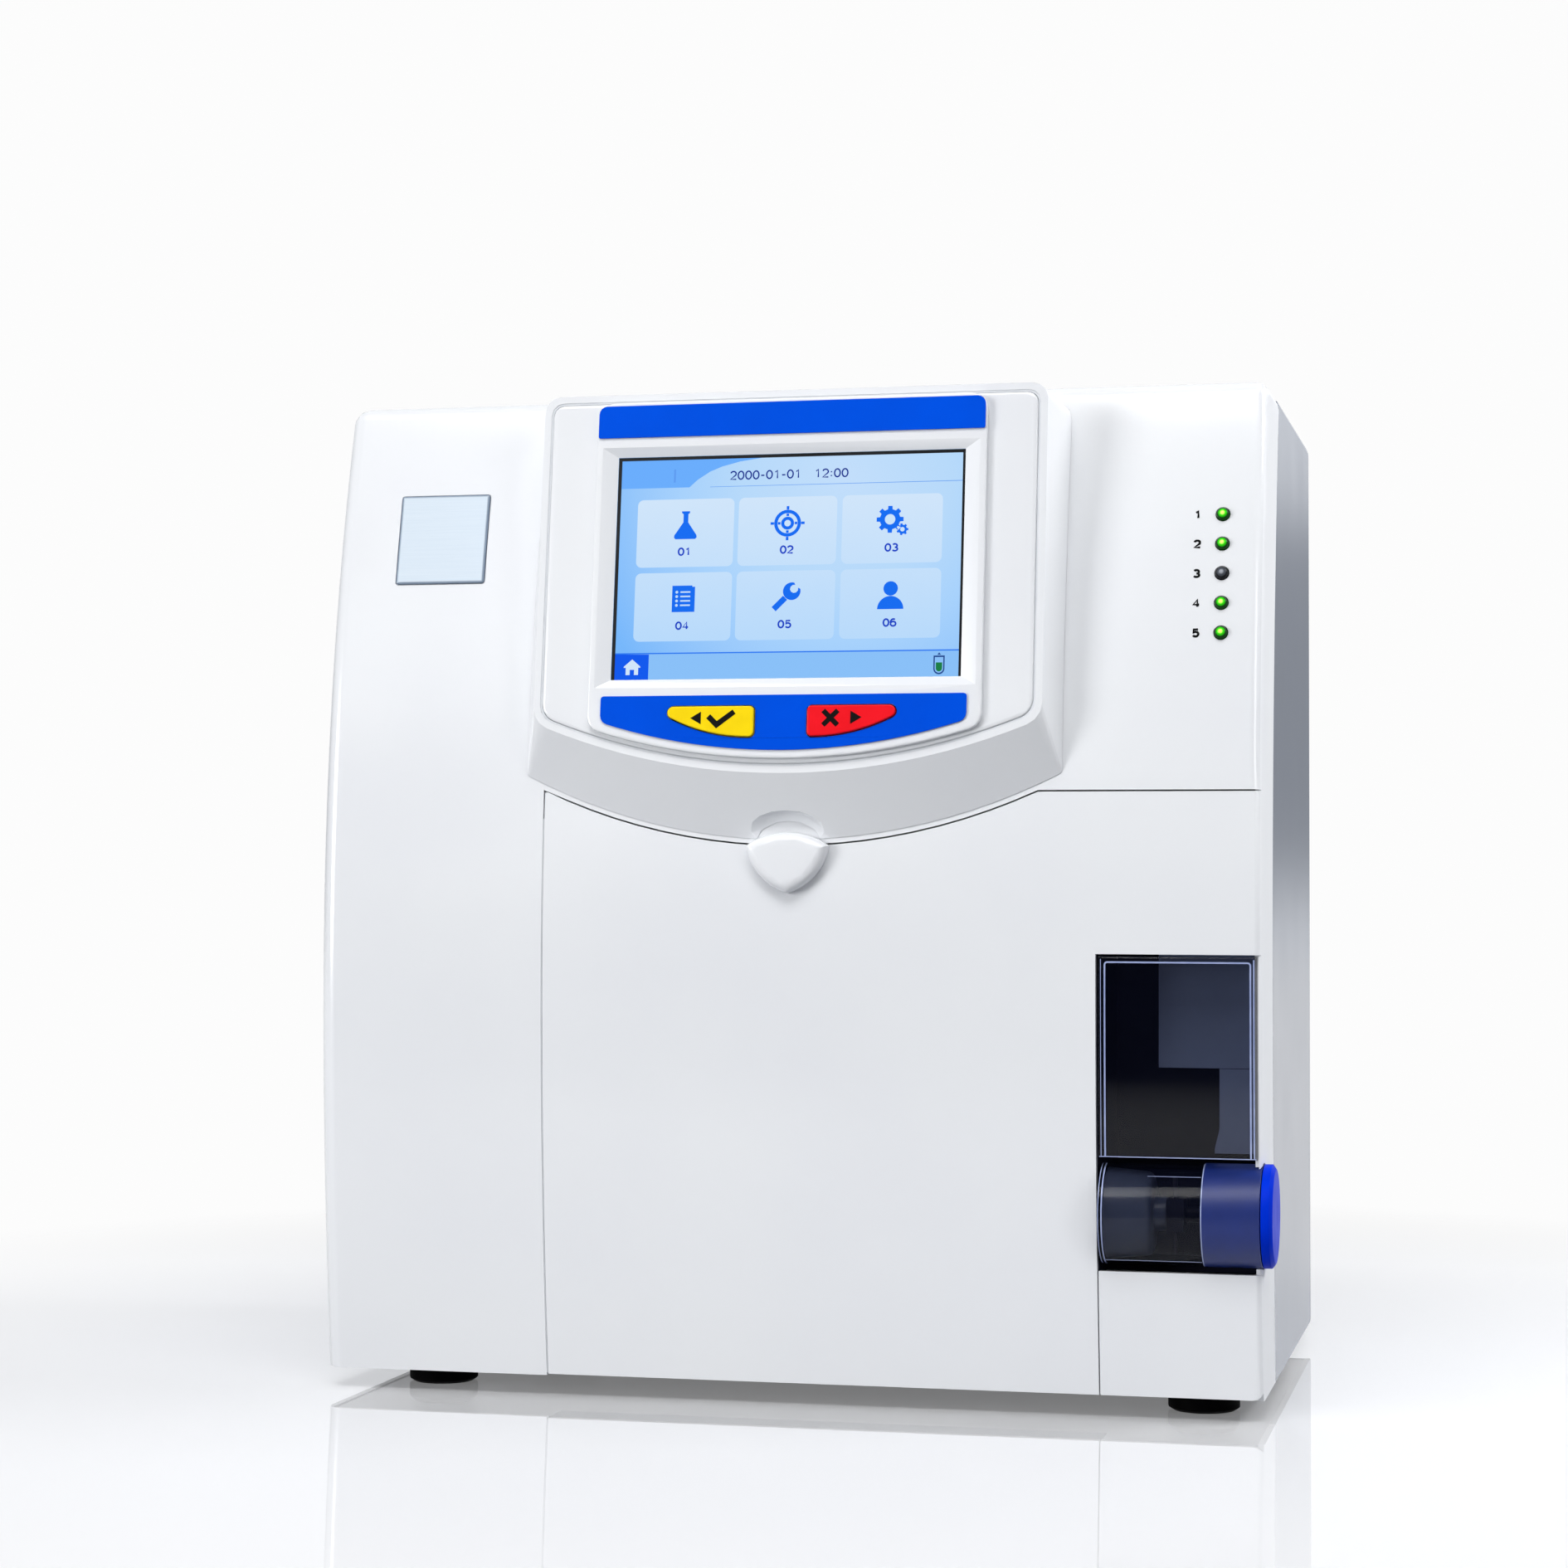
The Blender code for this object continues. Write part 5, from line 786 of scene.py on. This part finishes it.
def makeSampler(look):
    face = Matrix.Rotation(math.pi / 2, 4, "X")
    near, far = look["carrierFront"]
    # painted light: a lighter facing on the block and post stands in for their lit fronts inside the dark
    # carrier
    flatPiece("carrierLitFacing", [look["carrier"], look["carrierPost"]], near, far, face, finishes["slate"],
              "case")
    # painted highlights: pale strips along the window's edges stand in for the light its bevels reflect
    paintedGlint = tintedAcrylic("pale acrylic painted edge highlight",
                          {"colour": look["paintedGlint"], "shade": "#9AA8D6", "roughness": 0.12,
                           "flowMm": 6, "alpha": 0.9})
    left, right, high, low = [look[k] for k in ("windowLeft", "windowRight", "windowTop", "windowLow")]
    a, b, c = left + 2.6, right - 2.4, high - 2.3
    foot, head, radius = (low + 0.4) * mm, (high - 1.2) * mm, 1.0
    path = upright(a * mm, foot, (c - radius) * mm, 20)
    path += [(x * mm, z * mm) for x, z in ring(a + radius, c - radius, radius, 5, 180, -90)[1:]]
    path += [(x * mm, z * mm) for x, z in ring(b - radius, c - radius, radius, 5, 90, -90)]
    path += list(reversed(upright(b * mm, foot, (c - radius) * mm, 20)))[1:]
    frontBand("windowInnerLine", path, 0.62, -0.1, 0.1, paintedGlint, "case")
    frontBand("windowLeftLine", upright((left + 1.1) * mm, foot, head), 0.25, -0.06, 0.1, paintedGlint, "case")
    frontBand("windowRightLine", upright((right - 1.15) * mm, foot, head), 0.5, -0.08, 0.1, paintedGlint, "case")
    sill = [(x * mm, (low + 0.5) * mm) for x in (left + 0.4, right - 0.4)]
    frontBand("windowFootLine", sill, 0.35, -0.06, 0.1, paintedGlint, "case")

    # painted highlights: fine pale lines where the drum's and barrel's polished rims would catch the light
    shape = bmesh.new()
    y, z = look["axis"]
    for x, wide, radii, arc, steps in look["paintedRimGlints"]:
        rows = []
        for i in range(steps + 1):
            angle = math.radians(arc[0] + (arc[1] - arc[0]) * i / steps)
            corners = ((0, radii[1]), (wide, radii[1]), (wide, radii[0]), (0, radii[0]))
            rows.append([shape.verts.new(((x + across) * mm, y + reach * mm * math.cos(angle),
                                          z + reach * mm * math.sin(angle))) for across, reach in corners])
        skin(shape, rows)
        stripEnds(shape, rows)
    bmesh.ops.recalc_face_normals(shape, faces=shape.faces)
    meshPiece("paintedRimGlints", shape, paintedGlint, "sampler", True)

    cone = mouldedPlastic("dark slate acetal turned",
                          {"colour": "#525C7A", "shade": "#4D5674", "roughness": 0.34,
                           "roughSpread": 0.04, "cloudMm": 12, "grainMm": 0.7, "bump": 0.03, "ior": 1.48,
                           "specular": 0.4})
    hub = turnedPiece("drumCone", look["cone"], y, z, cone, "sampler")
    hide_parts("drum_hub")


makeSampler(samplerLook)
print("sampler fitted")


# millimetres
screwLook = {"radius": 2.8, "rise": 1.1, "slot": 0.55, "reach": 1.9, "edgeInset": 14,
             "heights": (30, 200, 368),
             "fanInset": 4}


def screwShape(place, look):
    # pan head with a cross recess, built as a ring of steps round a sunk cross
    shape = bmesh.new()
    wide, rise, slot, reach = [look[k] for k in ("radius", "rise", "slot", "reach")]
    steps = [(wide, 0.0), (wide, 0.35), (wide * 0.9, rise * 0.75), (wide * 0.72, rise)]
    count = 24
    turns = [2 * math.pi * i / count for i in range(count)]
    loops = [[shape.verts.new((radius * math.cos(turn) * mm, radius * math.sin(turn) * mm, up * mm))
              for turn in turns] for radius, up in steps]
    skin(shape, loops)
    shape.faces.new(list(reversed(loops[0])))
    cross = []
    for quarter in range(4):
        turn = math.pi / 2 * quarter
        for a, b in ((slot, -slot), (reach, -slot * 0.7), (reach, slot * 0.7)):
            cross.append(spun(a, b, turn))
    top = [shape.verts.new((a * mm, b * mm, rise * mm)) for a, b in cross]
    floor = [shape.verts.new((a * 0.6 * mm, b * 0.6 * mm, rise * 0.3 * mm)) for a, b in cross]
    corners = len(cross)
    edges = [shape.edges.new((top[i], top[(i + 1) % corners])) for i in range(corners)]
    rim = [shape.edges.get((loops[-1][i], loops[-1][(i + 1) % count])) for i in range(count)]
    bmesh.ops.triangle_fill(shape, use_beauty=True, edges=edges + rim)
    inside = [f for f in shape.faces if all(v in top for v in f.verts)]
    bmesh.ops.delete(shape, geom=inside, context="FACES_ONLY")
    for i in range(corners):
        shape.faces.new((top[i], top[(i + 1) % corners], floor[(i + 1) % corners], floor[i]))
    shape.faces.new(floor)
    bmesh.ops.recalc_face_normals(shape, faces=shape.faces)
    bmesh.ops.transform(shape, matrix=place, verts=shape.verts)
    return shape


def joinShapes(shapes):
    whole = bmesh.new()
    for shape in shapes:
        mesh = bpy.data.meshes.new("part")
        shape.to_mesh(mesh)
        shape.free()
        whole.from_mesh(mesh)
        bpy.data.meshes.remove(mesh)
    return whole


def makeBack(look):
    low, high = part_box("rear_cover")
    back, inset = high.y, look["edgeInset"] * mm
    places = [(x, z * mm) for x in (low.x + inset, high.x - inset) for z in look["heights"]]
    low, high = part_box("fan_frame")
    inset = look["fanInset"] * mm
    places += [(x, z) for x in (low.x + inset, high.x - inset) for z in (low.z + inset, high.z - inset)]
    facing = Matrix.Rotation(-math.pi / 2, 4, "X")
    shapes = [screwShape(Matrix.Translation((x, back, z)) @ facing, look) for x, z in places]
    meshPiece("rearScrews", joinShapes(shapes), finishes["steel"], "case", True)


makeBack(screwLook)
print("back finished")


roomLook = {"above": 0.15, "below": 0.1, "behind": 0.5, "mirrorFront": 0.1, "mirrorBack": 0.95,
            "mirrorBand": 0.16,
            "backdrop": 0.975, "floor": "#F4F5F8", "bounce": "#85878B", "darkRoom": "#171B2C",
            "fade": (1.45, 1.3, 0.0),
            "floorLift": 0.25, "floorMirror": 0.48, "floorMirrorBlur": 0.02, "floorHalf": 6.0,
            "shineHalf": 1.2}


def makeWorld(look):
    # white studio: white to the eye and in mirrors behind the object, dim where the camera stands
    world = bpy.data.worlds.new("studio")
    bpy.context.scene.world = world
    world.use_nodes = True
    tree = world.node_tree
    tree.nodes.clear()
    way = addNode(tree, "ShaderNodeSeparateXYZ", {},
                  {0: addNode(tree, "ShaderNodeTexCoord").outputs["Generated"]})
    path = addNode(tree, "ShaderNodeLightPath")
    soft = addNode(tree, "ShaderNodeMapRange", {"From Min": -0.3, "From Max": 0.9, "To Min": look["below"],
                   "To Max": look["above"]}, {"Value": way.outputs["Z"]})
    rear = addNode(tree, "ShaderNodeMapRange",
                   {"From Min": 0.15, "From Max": 0.85, "To Min": 0.0, "To Max": look["behind"]},
                   {"Value": way.outputs["Y"]})
    both = addNode(tree, "ShaderNodeMath", {"operation": "ADD"}, {0: soft, 1: rear})
    dull = addNode(tree, "ShaderNodeBackground", {"Color": (0.96, 0.975, 1.0, 1)}, {"Strength": both})
    turned = addNode(tree, "ShaderNodeMapRange",
                     {"From Min": 0.35, "From Max": 0.9, "To Min": look["mirrorFront"],
                      "To Max": look["mirrorBack"]}, {"Value": way.outputs["Y"]})
    white, grey = (1, 1, 1, 1), (look["mirrorBand"],) * 3 + (1,)
    height = addNode(tree, "ShaderNodeMapRange", {"From Min": -0.05, "From Max": 0.2},
                     {"Value": way.outputs["Z"]})
    band = inkedRamp(tree, [(0.0, white), (0.13, white), (0.23, grey), (0.58, grey), (0.66, white)],
                     height)
    bright = addNode(tree, "ShaderNodeMath", {"operation": "MULTIPLY"}, {0: turned, 1: band})
    mirror = addNode(tree, "ShaderNodeBackground", {"Color": (0.95, 0.97, 1.0, 1)}, {"Strength": bright})
    seen = addNode(tree, "ShaderNodeBackground", {"Color": (1, 1, 1, 1), "Strength": look["backdrop"]})
    direct = addNode(tree, "ShaderNodeMath", {"operation": "MAXIMUM"},
                     {0: path.outputs["Is Camera Ray"], 1: path.outputs["Is Transmission Ray"]})
    glossy = addNode(tree, "ShaderNodeMixShader", {}, {0: path.outputs["Is Glossy Ray"], 1: dull, 2: mirror})
    mix = addNode(tree, "ShaderNodeMixShader", {}, {0: direct, 1: glossy, 2: seen})
    addNode(tree, "ShaderNodeOutputWorld", {}, {"Surface": mix})


def stageSheet(name, half, z, material):
    # a flat square sheet that isn't part of the object
    shape = bmesh.new()
    bmesh.ops.create_grid(shape, x_segments=2, y_segments=2, size=half)
    bmesh.ops.translate(shape, vec=(0, 0, z), verts=shape.verts)
    mesh = bpy.data.meshes.new(name)
    shape.to_mesh(mesh)
    shape.free()
    sheet = newObject(name, mesh)
    mesh.materials.append(material)
    return sheet


def tableFade(tree, look):
    # one over the middle of the table, falling to nothing round the object
    place = addNode(tree, "ShaderNodeTexCoord").outputs["Object"]
    far = addNode(tree, "ShaderNodeMapping", {"Scale": look["fade"]}, {"Vector": place})
    return place, addNode(tree, "ShaderNodeTexGradient", {"gradient_type": "SPHERICAL"}, {"Vector": far})


def makeTable(look):
    # white acrylic sheet: it takes shadows near the object and runs out to plain white
    material, tree = newMaterial("gloss white acrylic table")
    place, fall = tableFade(tree, look)
    near = addNode(tree, "ShaderNodeMapRange",
                   {"interpolation_type": "SMOOTHSTEP", "From Min": 0.1, "From Max": 0.66,
                    "To Min": 0.0, "To Max": 1.0 - look["floorLift"]}, {"Value": fall.outputs["Fac"]})
    path = addNode(tree, "ShaderNodeLightPath")
    front = addNode(tree, "ShaderNodeMapRange",
                    {"From Min": -1.1, "From Max": -0.7, "To Min": 1.0, "To Max": 0.0},
                    {"Value": addNode(tree, "ShaderNodeSeparateXYZ", {}, {0: place}).outputs["Y"]})
    gone = addNode(tree, "ShaderNodeMath", {"operation": "MULTIPLY"},
                   {0: front, 1: path.outputs["Is Glossy Ray"]})
    pale = addNode(tree, "ShaderNodeMix",
                   {"data_type": "RGBA", 6: linear(look["floor"]), 7: linear(look["bounce"])},
                   {0: path.outputs["Is Diffuse Ray"]})
    tone = addNode(tree, "ShaderNodeMix", {"data_type": "RGBA", 7: linear(look["darkRoom"])},
                   {0: gone, 6: pale.outputs[2]})
    matt = addNode(tree, "ShaderNodeBsdfDiffuse", {}, {"Color": tone.outputs[2]})
    white = addNode(tree, "ShaderNodeEmission", {"Color": (1, 1, 1, 1), "Strength": look["backdrop"]})
    shown = addNode(tree, "ShaderNodeMath", {"operation": "SUBTRACT"},
                    {0: path.outputs["Is Glossy Ray"], 1: gone})
    direct = addNode(tree, "ShaderNodeMath", {"operation": "MAXIMUM"},
                     {0: path.outputs["Is Camera Ray"], 1: shown})
    away = addNode(tree, "ShaderNodeMath", {"operation": "SUBTRACT", 0: 1.0}, {1: near})
    lift = addNode(tree, "ShaderNodeMath", {"operation": "MULTIPLY"}, {0: away, 1: direct})
    sheet = addNode(tree, "ShaderNodeMixShader", {}, {0: lift, 1: matt, 2: white})
    stageSheet("table", look["floorHalf"], 0.0, closeMaterial(material, sheet))


def makeTableShine(look):
    # the polish on the sheet: it mirrors the object and the room, and the lamps are told to leave it out
    material, tree = newMaterial("acrylic table polish")
    place, fall = tableFade(tree, look)
    ripple = addNode(tree, "ShaderNodeTexNoise", {"Scale": 1 / (4 * mm), "Detail": 2.0}, {"Vector": place})
    bump = addNode(tree, "ShaderNodeBump", {"Strength": 0.01, "Distance": 0.0003},
                   {"Height": ripple.outputs["Fac"]})
    gloss = addNode(tree, "ShaderNodeBsdfGlossy",
                    {"Roughness": look["floorMirrorBlur"], "Color": (0.98, 0.98, 0.99, 1)},
                    {"Normal": bump})
    share = addNode(tree, "ShaderNodeMapRange", {"From Min": 0.05, "From Max": 0.75, "To Min": 0.0,
                    "To Max": look["floorMirror"]}, {"Value": fall.outputs["Fac"]})
    seen = addNode(tree, "ShaderNodeLightPath").outputs["Is Camera Ray"]
    shiny = addNode(tree, "ShaderNodeMath", {"operation": "MULTIPLY"}, {0: share, 1: seen})
    clear = addNode(tree, "ShaderNodeBsdfTransparent")
    mix = addNode(tree, "ShaderNodeMixShader", {}, {0: shiny, 1: clear, 2: gloss})
    return stageSheet("table polish", look["shineHalf"], 0.00005, closeMaterial(material, mix))


def softLamp(name, look, leftOut):
    data = bpy.data.lights.new(name, "AREA")
    data.shape = "RECTANGLE"
    data.size, data.size_y = look["size"]
    data.energy = look["power"]
    lamp = newObject(name, data)
    aim = (Vector(look["aim"]) - Vector(look["place"])).to_track_quat("-Z", "Y").to_matrix().to_4x4()
    spin = Matrix.Rotation(math.radians(look.get("spin", 0)), 4, "Z")
    lamp.matrix_world = Matrix.Translation(look["place"]) @ aim @ spin
    lamp.visible_camera = False
    lamp.visible_diffuse = not look.get("sheenOnly", False)
    lamp.light_linking.receiver_collection = leftOut


# metres and watts
lamps = {
    "overhead box": {"size": (5.0, 2.5), "power": 254, "place": (0.1, -3.6, 5.2), "aim": (0, 0, 0.2)},
    "left box": {"size": (2.0, 1.5), "power": 202, "place": (-4.6, -4.0, 0.9), "aim": (0, 0, 0.2)},
    "right box": {"size": (1.5, 2.0), "power": 48, "place": (4.2, -3.4, 1.6), "aim": (0, 0, 0.2)},
    "side box": {"size": (0.4, 0.4), "power": 7.5, "place": (1.0, 0.1, 0.9), "aim": (0, 0, 0.2)},
    "low side box": {"size": (0.6, 0.4), "power": 1.2, "place": (1.7, 0.2, 0.2), "aim": (0, 0, 0.2)},
    "left window": {"size": (0.34, 1.1), "power": 1.6, "place": (-1.03, -2.3, 1.42),
                    "aim": (-0.14, -0.1, 0.3),
                    "sheenOnly": True},
    "low window": {"size": (0.42, 0.11), "power": 0.22, "place": (-0.79, -2.3, 0.53),
                   "aim": (-0.1, -0.11, 0.215), "spin": 52, "sheenOnly": True},
}
makeWorld(roomLook)
makeTable(roomLook)
unlit = bpy.data.collections.new("not reached by lamps")
unlit.objects.link(makeTableShine(roomLook))
unlit.collection_objects[0].light_linking.link_state = "EXCLUDE"
for name, look in lamps.items():
    softLamp(name, look, unlit)
print("room lit")
